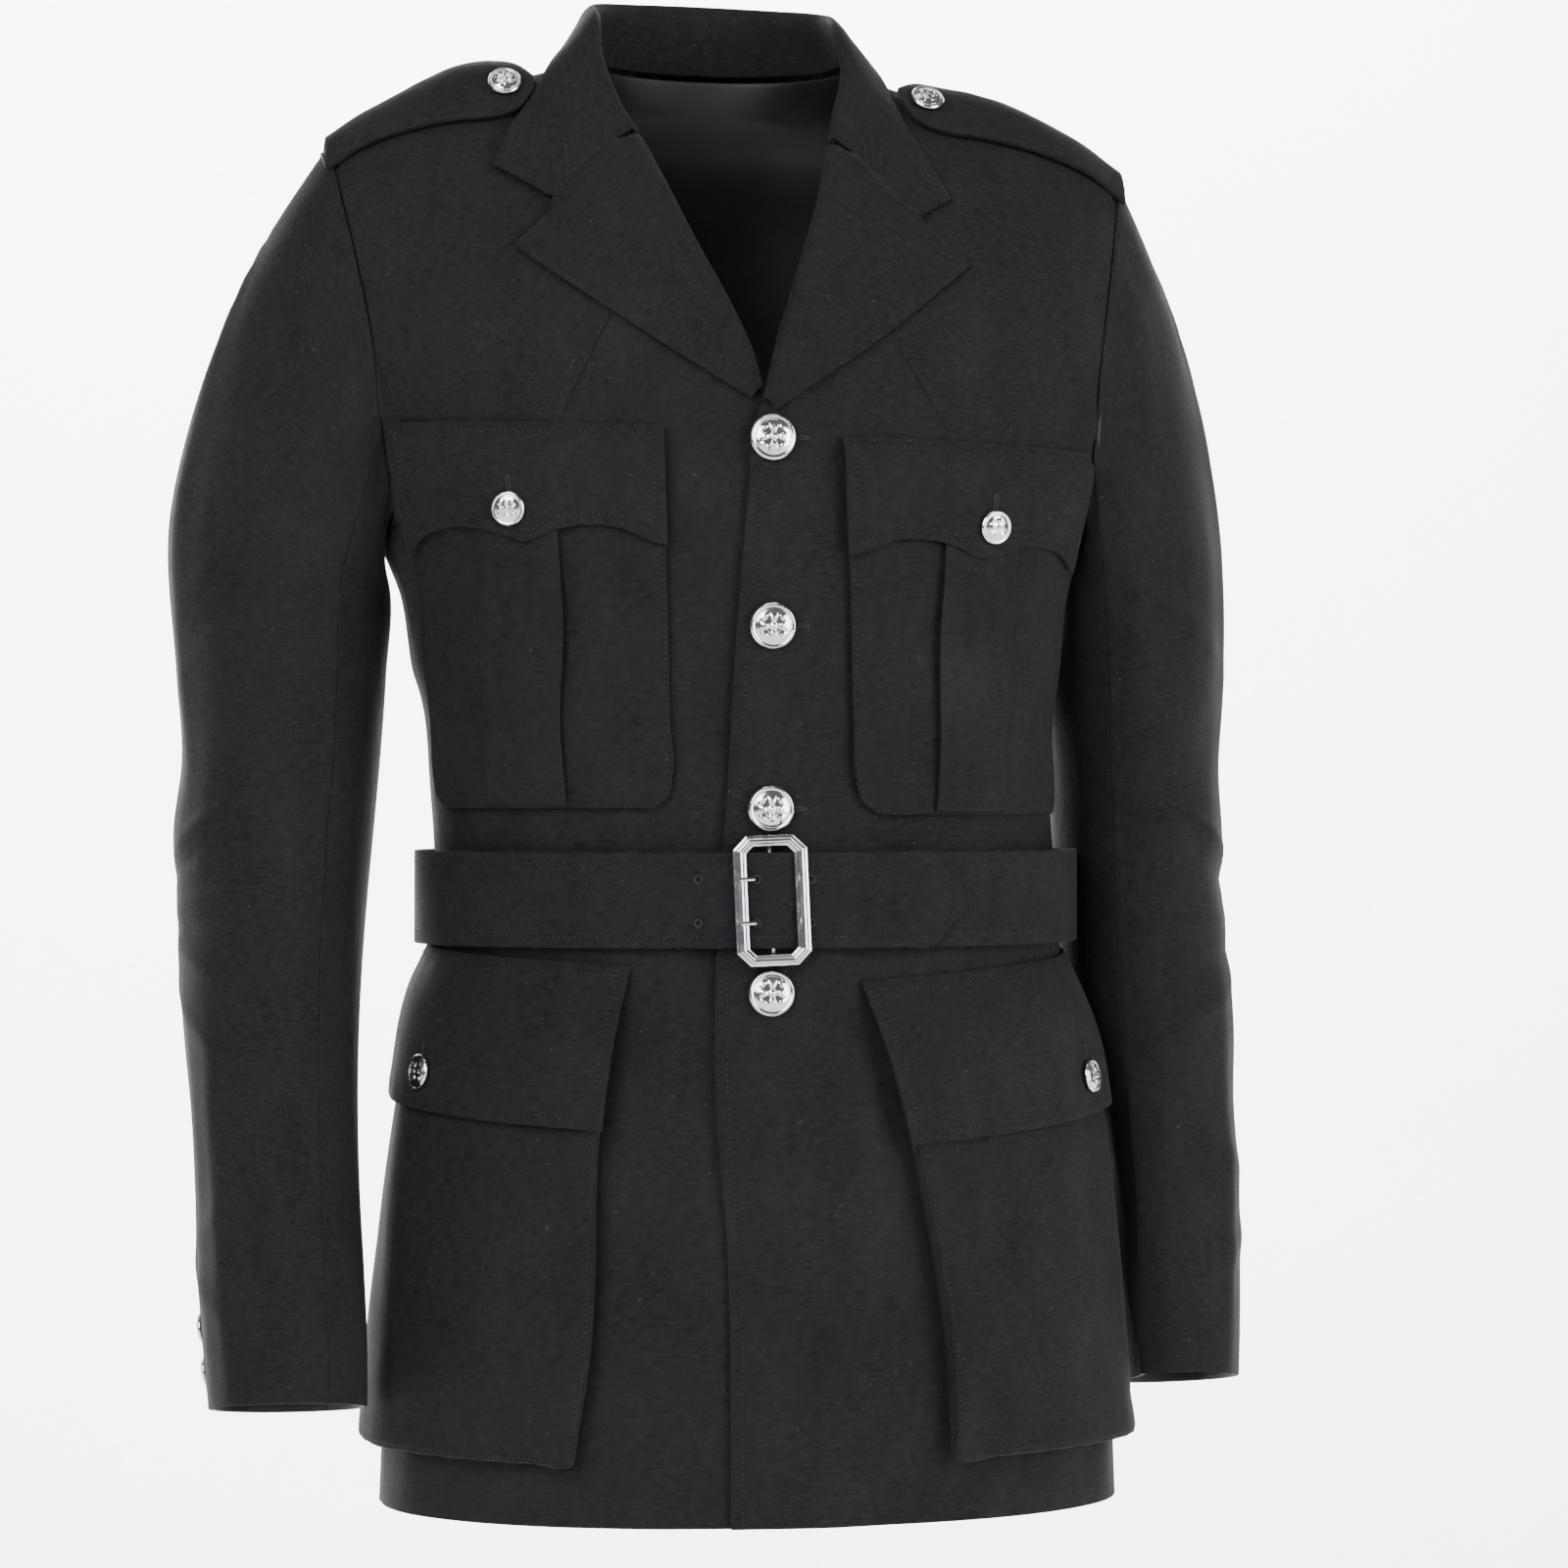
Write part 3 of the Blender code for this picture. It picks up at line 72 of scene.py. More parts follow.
MM = 0.001
RIGHT, LEFT = -1, 1
CLOTH = 2.0 * MM
TRIM_CLOTH = 1.7 * MM
UNDERARM_Z = -0.265
SHOULDER_TIP_Z = -0.057
BUTTON_RADIUS = 12.0 * MM
SMALL_BUTTON_RADIUS = 8.85 * MM
BELT_Z = -0.4494
BELT_WIDTH = 49.0 * MM
BELT_THICKNESS = 2.2 * MM
EPAULETTE_WIDTH = 45.0 * MM
SHOULDER_LEAN = 0.026
LEAN_FROM_Z, LEAN_REACH = -0.460, 0.300
# level, half width, front depth, back depth, roundness x 100, sway towards the left
BODY = [
    (-780, 198.5, 122, 130, 220, 12),
    (-700, 194.5, 122, 130, 220, 12),
    (-620, 187, 119, 128, 220, 12),
    (-550, 178, 116, 120, 220, 12),
    (-500, 171, 112, 110, 220, 11),
    (-448, 167, 109, 101, 220, 11),
    (-400, 166.5, 109, 100, 220, 8),
    (-350, 167.5, 113, 106, 225, 5),
    (-320, 174, 116, 111, 235, 4),
    (-286, 179, 118, 115, 240, 3),
    (-265, 187, 118, 120, 245, 2),
    (-235, 200, 118, 122, 250, 1),
    (-200, 213, 116, 124, 250, 0),
    (-150, 219, 106, 120, 240, 0),
    (-100, 220, 84, 108, 225, 0),
    (-72, 217, 63, 97, 210, 0),
    (-57, 213, 49, 89, 200, 0),
    (-47, 200, 41, 85, 200, -1),
    (-38, 185, 35, 83, 200, -2),
    (-29, 165, 30, 81, 200, -3),
    (-23, 145, 27, 80, 200, -4),
    (-19, 125, 25.5, 79.5, 200, -5),
    (-15.5, 105, 24, 79, 200, -5.5),
    (-9, 86, 22, 78.5, 200, -6),
    (0, 75, 20, 78, 200, -6),
]
# level, x of the armhole seam on the front, and on the back
ARMHOLE = [
    (-265, 189, 189),
    (-258, 184, 188),
    (-248, 182, 187),
    (-230, 185, 186),
    (-190, 188, 190),
    (-150, 194, 196),
    (-105, 202.5, 205),
    (-75, 209, 211),
    (-57, 213, 213),
]
# level, x of the left front's edge
LEFT_EDGE = [
    (-780, -11.5),
    (-634, -13),
    (-556, -18.5),
    (-473, -17.5),
    (-402, -12.5),
    (-308, -8),
    (-212, 0),
    (-180, 3),
]
# level, distance of the roll line from the middle, on the right and on the left
ROLL = [
    (-196, -6, 4),
    (-180, -5.5, 7.5),
    (-143, 10, 20),
    (-110, 26, 31),
    (-84, 37, 40),
    (-50, 51, 49),
    (-36, 60, 53),
    (-15, 69, 60),
    (0, 81, 69),
]
# side s, top level, bottom level, half width, depth: soft vertical folds in the body
BODY_FOLDS = [
    (-40, -500, -700, 10, 2.4),
    (42, -560, -760, 14, 2.2),
    (-55, -640, -770, 12, 1.6),
    (150, -290, -380, 9, 2.0),
    (-152, -290, -395, 9, 2.0),
    (205, -500, -760, 16, 2.6),
    (-208, -520, -760, 15, 2.2),
    (330, -480, -770, 22, 3.5),
    (400, -490, -770, 20, 3.0),
    (-345, -480, -770, 22, 3.2),
    (-60, -120, -200, 10, 1.2),
]
FOLD_FADE_TOP = 40 * MM
FOLD_FADE_BOTTOM = 30 * MM


def mm(value):
    return value * MM


def smooth(table, key, column):
    """A table's column at a key, on a smooth curve through its rows."""
    keys = [row[0] for row in table]
    last = len(table) - 1
    i = min(max(bisect_right(keys, key) - 1, 0), last - 1)

    def slope(j):
        a, b = table[max(j - 1, 0)], table[min(j + 1, last)]
        return (b[column] - a[column]) / (b[0] - a[0])

    low, high = table[i], table[i + 1]
    span = high[0] - low[0]
    t = min(max((key - low[0]) / span, 0.0), 1.0)
    return (low[column] * (1 + 2 * t) * (1 - t) ** 2 + slope(i) * span * t * (1 - t) ** 2
            + high[column] * (3 - 2 * t) * t ** 2 + slope(i + 1) * span * t ** 2 * (t - 1))


def ease(t):
    t = min(max(t, 0.0), 1.0)
    return t * t * (3 - 2 * t)


def bump(distance, half_width):
    return exp(-((distance / half_width) ** 2))


RING_STEPS = 180
NORMAL_STEP = 4 * MM
SHOULDER_STEP = 3 * MM
SHOULDER_SEARCH = (-0.2, 0.0)
SEARCH_TURNS = 18


@lru_cache(maxsize=None)
def ring(level):
    """Points (x from the ring's middle, y) from the front round to the back, and lengths."""
    key = level / MM
    half, front, back, round_x, sway = (mm(smooth(BODY, key, c)) for c in range(1, 6))
    power = 2 / (round_x / MM / 100)
    points = []
    for i in range(RING_STEPS + 1):
        angle = pi * i / RING_STEPS
        across, along = abs(sin(angle)) ** power, abs(cos(angle)) ** power
        y = -front * along if i <= RING_STEPS / 2 else back * along
        points.append((half * across, y))
    lengths = [0.0]
    for a, b in zip(points, points[1:]):
        lengths.append(lengths[-1] + hypot(b[0] - a[0], b[1] - a[1]))
    return points, lengths, sway


def s_round(level):
    """Half of the ring's girth: s at the back's middle."""
    return ring(round(level, 4))[1][-1]


def s_side(level):
    return ring(round(level, 4))[1][RING_STEPS // 2]


def s_of_x(level, x, back=False):
    """The length s, with a sign, where a ring passes x on its front or back half."""
    points, lengths, sway = ring(round(level, 4))
    target = min(abs(x - sway), points[RING_STEPS // 2][0])
    half = RING_STEPS // 2
    order = range(RING_STEPS, half, -1) if back else range(half)
    step = -1 if back else 1
    for i in order:
        a, b = points[i][0], points[i + step][0]
        if a <= target <= b:
            t = (target - a) / max(b - a, 1e-9)
            s = lengths[i] + (lengths[i + step] - lengths[i]) * t
            return s if x >= sway else -s
    return lengths[half] if x >= sway else -lengths[half]


def bare_body(s, level):
    """A point on the body's smooth surface."""
    points, lengths, sway = ring(round(level, 4))
    girth = 2 * lengths[-1]
    s = (s + girth / 2) % girth - girth / 2
    side = 1 if s >= 0 else -1
    i = min(max(bisect_right(lengths, abs(s)) - 1, 0), RING_STEPS - 1)
    t = (abs(s) - lengths[i]) / (lengths[i + 1] - lengths[i])
    a, b = points[i], points[i + 1]
    return Vector((sway + side * (a[0] + (b[0] - a[0]) * t), a[1] + (b[1] - a[1]) * t, level))


def body_normal(s, level):
    step = NORMAL_STEP
    along = bare_body(s + step, level) - bare_body(s - step, level)
    up = bare_body(s, level + step) - bare_body(s, level - step)
    return along.cross(up).normalized()


def body_fold(s, level):
    """How far the cloth's soft folds move it out at a place on the body."""
    out = 0.0
    for fold_s, top, bottom, half_width, depth in BODY_FOLDS:
        above = (level - mm(bottom) + FOLD_FADE_BOTTOM) / (2 * FOLD_FADE_BOTTOM)
        below = (mm(top) - level) / FOLD_FADE_TOP
        out += mm(depth) * bump(s - mm(fold_s), mm(half_width)) * ease(below) * ease(above)
    return out


def on_body(s, level, lift=0.0):
    out = lift + body_fold(s, level)
    return bare_body(s, level) + body_normal(s, level) * out


def top_level(x, y):
    """The level of the shoulder's surface above a place (x, y)."""
    low, high = SHOULDER_SEARCH
    for _ in range(SEARCH_TURNS):
        middle = (low + high) / 2
        key = middle / MM
        half, front, back, round_x, _sway = (mm(smooth(BODY, key, c)) for c in range(1, 6))
        power = round_x / MM / 100
        depth = front if y < 0 else back
        inside = (abs(x) / half) ** power + (abs(y) / depth) ** power < 1
        low, high = (middle, high) if inside else (low, middle)
    return low


def on_shoulder(x, y, lift):
    """A point above the shoulder, moved out along the surface's normal."""
    step = SHOULDER_STEP
    z = top_level(x, y)
    along_x = Vector((2 * step, 0, top_level(x + step, y) - top_level(x - step, y)))
    along_y = Vector((0, 2 * step, top_level(x, y + step) - top_level(x, y - step)))
    return Vector((x, y, z)) + along_x.cross(along_y).normalized() * lift


def lean(point):
    """The worn tunic hangs lower on its left shoulder, and level at the belt."""
    point = Vector(point)
    point.z -= SHOULDER_LEAN * point.x * ease((point.z - LEAN_FROM_Z) / LEAN_REACH)
    return point


def pick(values, t):
    """The value at t, from 0 to 1, along a list of evenly counted stops."""
    place = t * (len(values) - 1)
    i = min(int(place), len(values) - 2)
    return values[i] + (values[i + 1] - values[i]) * (place - i)


PANEL_LEVELS = [
    -770, -733, -695, -657, -618, -578, -538, -500, -463, -426, -389, -354, -322, -292, -265,
    -250, -232, -206, -180, -152, -125, -98, -76, -57, -46, -36, -27.5, -21.5, -15.5, -8, -1.5,
]
OVERLAP_LIFT = 3.4 * MM
UNDERLAP_S = 0.014
V_BOTTOM = {RIGHT: -188, LEFT: -184}
ROLL_INSET = 3.5 * MM
NECK_EASE = 10 * MM
V_EASE = 14 * MM
# the left front lies flat over the right one as far as this, then comes down beside it
OVERLAP_FLAT_S, OVERLAP_EASE_S = 0.026, 0.034
OVERLAP_TOP_Z, OVERLAP_FADE = -0.170, 0.050
SIDE_GAP, RIDGE_GAP = 0.3 * MM, 0.8 * MM
FRONT_COLUMNS, BACK_COLUMNS = 11, 18


def armhole_x(level, column):
    return mm(smooth(ARMHOLE, level / MM, column))


def outer_s(level, back=False):
    """s at a panel's outer edge: side seam, armhole, then shoulder seam."""
    if level <= UNDERARM_Z or level >= SHOULDER_TIP_Z:
        return s_side(level)
    sway = ring(round(level, 4))[2]
    return abs(s_of_x(level, armhole_x(level, 2 if back else 1) + sway, back))


def roll_x(side, level):
    return mm(smooth(ROLL, level / MM, 1 if side == RIGHT else 2))


def left_edge_x(level):
    return mm(smooth(LEFT_EDGE, level / MM, 1))


def front_inner_s(side, level):
    """s at a front's inner edge: its opening edge, then the neckline under the roll."""
    inset = ROLL_INSET * (1 - ease((level + NECK_EASE) / NECK_EASE))
    roll = s_of_x(level, side * (roll_x(side, level) + inset))
    if side == LEFT:
        edge = s_of_x(level, left_edge_x(level))
    else:
        edge = UNDERLAP_S
    meet = ease((level - mm(V_BOTTOM[side]) + V_EASE) / V_EASE)
    return edge + (roll - edge) * meet


def front_lift(side, s, level):
    """The left front lies over the right one and eases down to the body beside it."""
    if side == RIGHT:
        return 0.0
    over = 1 - ease((s - OVERLAP_FLAT_S) / OVERLAP_EASE_S)
    return OVERLAP_LIFT * over * (1 - ease((level - OVERLAP_TOP_Z) / OVERLAP_FADE))


def seam_gap(level):
    """Half the gap between front and back, wider along the ridge of the shoulder."""
    return RIDGE_GAP if level >= SHOULDER_TIP_Z else SIDE_GAP


def on_panel(side, s, level, lift):
    """A point over a front's cloth, with s counted outwards on either side."""
    return on_body(side * s, level, lift + front_lift(side, s, level))


def add_front(side, name):
    def place(u, v):
        level = mm(pick(PANEL_LEVELS, v))
        inner = front_inner_s(side, level)
        outer = side * (outer_s(level) - seam_gap(level))
        spread = u if side == LEFT else 1 - u
        s = inner + (outer - inner) * spread
        return on_body(s, level, front_lift(side, s, level))

    add_sheet(name, FRONT_COLUMNS, len(PANEL_LEVELS) - 1, place)


def add_back():
    def place(u, v):
        level = mm(pick(PANEL_LEVELS, v))
        edge = outer_s(level, back=True) + seam_gap(level)
        middle = s_round(level)
        s = edge + (2 * middle - 2 * edge) * u
        return on_body(s, level)

    add_sheet("back", BACK_COLUMNS, len(PANEL_LEVELS) - 1, place)


LAPEL_LIFT = 3.1 * MM
# offset out from the roll line, lift: the section of the roll
ROLL_SECTION = [(0.8, -1.8), (-0.9, 0.6), (0.8, 2.9)]
# side: bottom of the V, level of the gorge at the roll line, tip x and level
LAPELS = {RIGHT: (-187, -50.5, 120, -115), LEFT: (-193, -51.5, 118, -116)}
LAPEL_BELLY = 4.0 * MM
LAPEL_COLUMNS, LAPEL_ROWS = 4, 8
# the foot of the lapel's edge, out from the roll line and down from the bottom of the V
LAPEL_FOOT_OUT, LAPEL_FOOT_DROP = 7.0 * MM, 5.0 * MM
SETTLE_ROWS = 2
SETTLE_STEP = 1.5


def on_front(side, x, level, lift):
    """A point over a front, given by its distance from the middle and its level."""
    s = s_of_x(level, side * x)
    return on_body(s, level, lift + front_lift(side, side * s, level))


def add_lapel(side, name):
    bottom, gorge_z, tip_x, tip_z = (mm(v) for v in LAPELS[side])
    last_roll = len(ROLL_SECTION) - 1
    columns = LAPEL_COLUMNS + len(ROLL_SECTION)
    foot_x = roll_x(side, bottom) + LAPEL_FOOT_OUT
    foot_z = bottom - LAPEL_FOOT_DROP

    def place(u, v):
        column = round((u if side == LEFT else 1 - u) * columns)
        level = bottom + (gorge_z - bottom) * v
        inner_x = roll_x(side, level)
        roll_column = min(column, last_roll)
        offset, lift = ROLL_SECTION[roll_column]
        settle = max(0.0, 1 - v * LAPEL_ROWS / SETTLE_ROWS)
        lift += (LAPEL_LIFT / MM - lift) * settle
        offset += (SETTLE_STEP * roll_column - offset) * settle
        start_x = inner_x + mm(offset)
        if column <= last_roll:
            return on_front(side, start_x, level, mm(lift))
        t = (column - last_roll) / (columns - last_roll)
        edge_x = foot_x + (tip_x - foot_x) * v + LAPEL_BELLY * sin(pi * v)
        edge_z = foot_z + (tip_z - foot_z) * v
        x = start_x + (edge_x - start_x) * t
        z = level + (edge_z - level) * t
        return on_front(side, x, z, LAPEL_LIFT)

    add_sheet(name, columns, LAPEL_ROWS, place, TRIM_CLOTH)


# level at the neckline, rise of the fold, x and level of the leaf's edge
COLLAR_FRONT = {
    RIGHT: [(-49.6, 2.5, 128, -71), (-35, 6, 119, -50), (-17, 12, 107, -31)],
    LEFT: [(-50.6, 2.5, 111, -80), (-36, 6, 103, -60), (-18, 11, 92, -38)],
}
# x, y, level of the stand's foot, of the fold, and of the leaf's edge
COLLAR_BACK = [
    (73.5, 0, 1.8, 62, -4, 20, 87, -1, -3),
    (64.5, 41, 1.8, 59, 36, 31, 85, 46, -10),
    (37.5, 66.5, 1.8, 35, 62, 36, 56, 84, -16),
    (0, 76, 1.8, 0, 72, 38, 0, 98, -20),
]
COLLAR_SHIFT = -6.0 * MM
NOTCH = {RIGHT: (98, -88.5), LEFT: (92.5, -91)}
COLLAR_COLUMNS_A_STATION = 3
COLLAR_LIFT = LAPEL_LIFT + 0.4 * MM
# beside the neckline: the stand's foot under the front, and the fold over it
STAND_OUT, STAND_LIFT = 0.8 * MM, -1.8 * MM
FOLD_IN, FOLD_LIFT = 0.2 * MM, 1.4 * MM
COLLAR_ROLL = 4.0 * MM
CREST_RISE = 1.6 * MM
SHOULDER_DROP = 1.2 * MM
LOW_STAND, HIGH_STAND = 0.7, 20.0 * MM
LEAF_SHARES = (0.25, 0.5, 0.72, 1.0)


def collar_stations(side):
    """From the gorge to the back's middle: foot, fold and edge of the collar's section."""
    stations = []
    for level, rise, edge_x, edge_z in COLLAR_FRONT[side]:
        level = mm(level)
        roll = roll_x(side, level)
        foot = on_front(side, roll + STAND_OUT, level, STAND_LIFT)
        fold = on_front(side, roll - FOLD_IN, level, FOLD_LIFT) + Vector((0, 0, mm(rise)))
        edge = on_front(side, mm(edge_x), mm(edge_z), COLLAR_LIFT)
        stations.append((foot, fold, edge))
    for row in COLLAR_BACK:
        values = [mm(v) for v in row]
        foot, fold, edge = (Vector((side * values[i] + COLLAR_SHIFT, values[i + 1], values[i + 2]))
                            for i in (0, 3, 6))
        stations.append((foot, fold, edge))
    return stations


def spline(points, place):
    """A smooth curve through points, at a place counted in points from the first."""
    i = min(int(place), len(points) - 2)
    t = place - i
    before = points[max(i - 1, 0)]
    after = points[min(i + 2, len(points) - 1)]
    a, b = points[i], points[i + 1]
    return 0.5 * (2 * a + (b - before) * t + (2 * before - 5 * a + 4 * b - after) * t ** 2
                  + (3 * a - before - 3 * b + after) * t ** 3)


def collar_section(foot, fold, edge, notch):
    """Points of a section: neck side of the stand, round the fold, then down the leaf."""
    out = Vector((edge.x - fold.x, edge.y - fold.y, 0)).normalized()
    up = Vector((0, 0, 1))
    rise = min(1.0, max(LOW_STAND, (fold.z - foot.z) / HIGH_STAND))
    crest = fold + out * COLLAR_ROLL * 0.6 + up * CREST_RISE * rise
    shoulder = fold + out * COLLAR_ROLL * 1.7 - up * SHOULDER_DROP
    if notch:
        leaf = [shoulder.lerp(notch, 0.5), notch, notch.lerp(edge, 0.5), edge]
    else:
        leaf = [shoulder.lerp(edge, share) for share in LEAF_SHARES]
    return [foot, foot.lerp(fold, 0.5), fold - up * mm(2) * rise, crest, shoulder] + leaf


def add_collar():
    right, left = collar_stations(RIGHT), collar_stations(LEFT)
    stations = right + left[-2::-1]
    count = len(stations) - 1
    columns = count * COLLAR_COLUMNS_A_STATION
    sections = []
    for i in range(columns + 1):
        place = i / COLLAR_COLUMNS_A_STATION
        foot, fold, edge = (spline([s[k] for s in stations], place) for k in range(3))
        side = RIGHT if i < columns / 2 else LEFT
        notch = None
        if i in (0, columns):
            notch_x, notch_z = NOTCH[side]
            notch = on_front(side, mm(notch_x), mm(notch_z), COLLAR_LIFT)
        sections.append(collar_section(foot, fold, edge, notch))
    rows = len(sections[0]) - 1

    def place(u, v):
        return sections[round(u * columns)][round(v * rows)]

    add_sheet("collar", columns, rows, place, TRIM_CLOTH)


# level, middle x, half width, half depth, middle y
SLEEVE = {
    RIGHT: [
        (-718, 235, 41, 50, -50),
        (-670, 237, 43, 52, -40),
        (-605, 240, 43, 54, -25),
        (-540, 242, 44.5, 56, -12),
        (-480, 243, 48.5, 58, 0),
        (-420, 241, 52, 62, 10),
        (-360, 236.5, 53, 66, 10),
        (-290, 240, 60.5, 70, 5),
    ],
    LEFT: [
        (-718, 241, 42, 49, 15),
        (-670, 242, 43, 51, 20),
        (-605, 242, 43, 53, 28),
        (-540, 238, 45, 55, 34),
        (-480, 234, 46, 58, 36),
        (-420, 230, 45, 61, 34),
        (-360, 227, 46, 64, 28),
        (-290, 222, 49, 71, 11),
    ],
}
SLEEVE_LEVELS = [-714, -682, -643, -603, -563, -523, -485, -450, -415, -378, -334]
CAP_STOPS = [0.0, 0.2, 0.42, 0.66, 0.86]
CAP_SWELL = {RIGHT: 17.0 * MM, LEFT: 13.0 * MM}
CAP_FOOT = -0.290
FRONT_SEAM = 120.0
BACK_SEAM = -125.0
CUFF_TILT = 9.0 * MM
ARM_GAP = 3.2 * MM
# half of the seam allowance between the two halves, in degrees
SLEEVE_SEAM_HALF = {RIGHT: 1.35, LEFT: 2.5}
TOP_COLUMNS, UNDER_COLUMNS = 10, 5
# the belt and the pockets beside the arms: how far they stand out, and where
BELT_ROOM, BELT_ROOM_HALF, ROOM_EASE = 11.0 * MM, 26.0 * MM, 20.0 * MM
POCKET_ROOM, POCKET_ROOM_TOP, POCKET_ROOM_FOOT = 14.0 * MM, -0.475, -0.765
POCKET_ROOM_BACK_Y, POCKET_ROOM_EASE = 0.070, 30.0 * MM
# gap between the sleeve and the body at the armhole: least, added on top, added below
ARMHOLE_GAP, ARMHOLE_TOP_GAP, ARMHOLE_LOW_GAP = 1.25 * MM, 0.5 * MM, 1.2 * MM
ARMHOLE_LOW_RISE = 1.5 * MM
CREASE_REACH = 60.0
CREASE_SLANT = 0.35 * MM
INNER_ARM_ANGLE = 60.0
# level, angle, half height, depth: creases across the sleeves
SLEEVE_FOLDS = {
    RIGHT: [(-330, 60, 16, 2.5), (-400, 20, 22, 2.2), (-455, 75, 14, 2.4), (-500, 40, 20, 2.6),
            (-560, 60, 26, 2.0), (-640, 30, 30, 1.6)],
    LEFT: [(-330, 60, 16, 2.2), (-420, 10, 22, 2.4), (-470, 60, 16, 2.2), (-520, 30, 22, 2.4),
           (-600, 60, 26, 1.8)],
}


def belly_allowance(y, level):
    """How far the pockets and the belt stand out from the body, beside the sleeves."""
    belt = BELT_ROOM * (1 - ease((abs(level - BELT_Z) - BELT_ROOM_HALF) / ROOM_EASE))
    pocket = POCKET_ROOM * ease((POCKET_ROOM_TOP - level) / ROOM_EASE)
    pocket *= ease((level - POCKET_ROOM_FOOT) / ROOM_EASE)
    return max(belt, pocket * ease((POCKET_ROOM_BACK_Y - y) / POCKET_ROOM_EASE))


def body_side_x(side, y, level):
    """x of the body's side at a depth y, measured outwards from the middle."""
    half, front, back, round_x, sway = (mm(smooth(BODY, level / MM, c)) for c in range(1, 6))
    power = round_x / MM / 100
    depth = front if y < 0 else back
    share = min(abs(y) / depth, 1.0)
    return half * (1 - share ** power) ** (1 / power) + side * sway


def clear_of_body(side, point):
    """Moves a point on a sleeve out until it is just clear of the body."""
    least = body_side_x(side, point.y, point.z) + belly_allowance(point.y, point.z) + ARM_GAP
    point.x = side * max(side * point.x, least)
    return point


def armhole_point(side, angle):
    turn = radians(angle)
    level = SHOULDER_TIP_Z - (SHOULDER_TIP_Z - UNDERARM_Z) * (1 - cos(turn)) / 2
    s = side * outer_s(level, back=sin(turn) < 0)
    lower = (1 - cos(turn)) / 2
    beside = ARMHOLE_GAP + ARMHOLE_TOP_GAP * max(0.0, cos(turn)) + ARMHOLE_LOW_GAP * lower
    return on_body(s, level) + Vector((side * beside, 0, ARMHOLE_LOW_RISE * lower))


def sleeve_ring(side, angle, level):
    turn = radians(angle)
    key = level / MM
    middle_x, half_x, half_y, middle_y = (mm(smooth(SLEEVE[side], key, c)) for c in range(1, 5))
    crease = 0.0
    for fold_z, fold_angle, half_height, depth in SLEEVE_FOLDS[side]:
        beside = (angle - fold_angle + 180) % 360 - 180
        slant = mm(fold_z) + CREASE_SLANT * beside
        reach = bump(beside, CREASE_REACH)
        crease += mm(depth) * bump(level - slant, mm(half_height)) * reach
    across, along = cos(turn), sin(turn)
    x = middle_x + (half_x + crease) * across
    y = middle_y - (half_y + crease) * along
    return Vector((side * x, y, level))


def sleeve_point(side, angle, row):
    """A point of a sleeve's outer face: rows count down from the armhole."""
    if row < len(CAP_STOPS):
        t = CAP_STOPS[row]
        top, low = armhole_point(side, angle), sleeve_ring(side, angle, CAP_FOOT)
        turn = radians(angle)
        swell = CAP_SWELL[side] * 4 * t * (1 - t) * max(0.0, cos(turn / 1.3)) ** 1.2
        point = top.lerp(low, t)
        point += Vector((side * cos(turn * 0.6), -sin(turn) * 0.5, 0.25 * cos(turn))) * swell
        if t == 0.0:
            return point
    else:
        level = mm(SLEEVE_LEVELS[len(CAP_STOPS) + len(SLEEVE_LEVELS) - 1 - row])
        point = sleeve_ring(side, angle, level)
        if row == len(CAP_STOPS) + len(SLEEVE_LEVELS) - 1:
            point.z += CUFF_TILT * sin(radians(angle))
    if abs(angle) > INNER_ARM_ANGLE and point.z < UNDERARM_Z + mm(30):
        point = clear_of_body(side, point)
    return point


def add_sleeve_half(side, name, first, last, columns):
    rows = len(CAP_STOPS) + len(SLEEVE_LEVELS) - 1
    seam = SLEEVE_SEAM_HALF[side]

    def place(u, v):
        spread = u if side == LEFT else 1 - u
        angle = first - seam + (last - first + 2 * seam) * spread
        return sleeve_point(side, angle, round((1 - v) * rows))

    add_sheet(name, columns, rows, place, CLOTH)


EPAULETTE_OUTER_X = 0.2110
EPAULETTE_END_X = {RIGHT: 0.1045, LEFT: 0.0895}
EPAULETTE_LIFT = 4.9 * MM
EPAULETTE_HUMP = {RIGHT: 9.0 * MM, LEFT: 3.0 * MM}
EPAULETTE_STOPS = [0.0, 0.16, 0.32, 0.48, 0.64, 0.8, 0.92, 1.0]
# y of the strap's back edge at its sleeve end and at its neck end
EPAULETTE_BACK_Y = (18.0 * MM, 0.0 * MM)
EPAULETTE_THICKNESS = 2.4 * MM
EPAULETTE_ROWS = 5
EPAULETTE_ROUND_END = 24.0 * MM
EPAULETTE_HUMP_X, EPAULETTE_HUMP_HALF = 0.135, 32.0 * MM
NECK_END_SHARE = 0.8
END_SHARE = 0.2
WALK_STEP = 1.5 * MM


def epaulette_half_width(side, x):
    inward = x - EPAULETTE_END_X[side]
    length = EPAULETTE_OUTER_X - EPAULETTE_END_X[side]
    taper = NECK_END_SHARE + (1 - NECK_END_SHARE) * inward / length
    end = min(inward / EPAULETTE_ROUND_END, 1.0)
    rounding = END_SHARE + (1 - END_SHARE) * (1 - (1 - end) ** 2) ** 0.5
    return EPAULETTE_WIDTH / 2 * taper * rounding


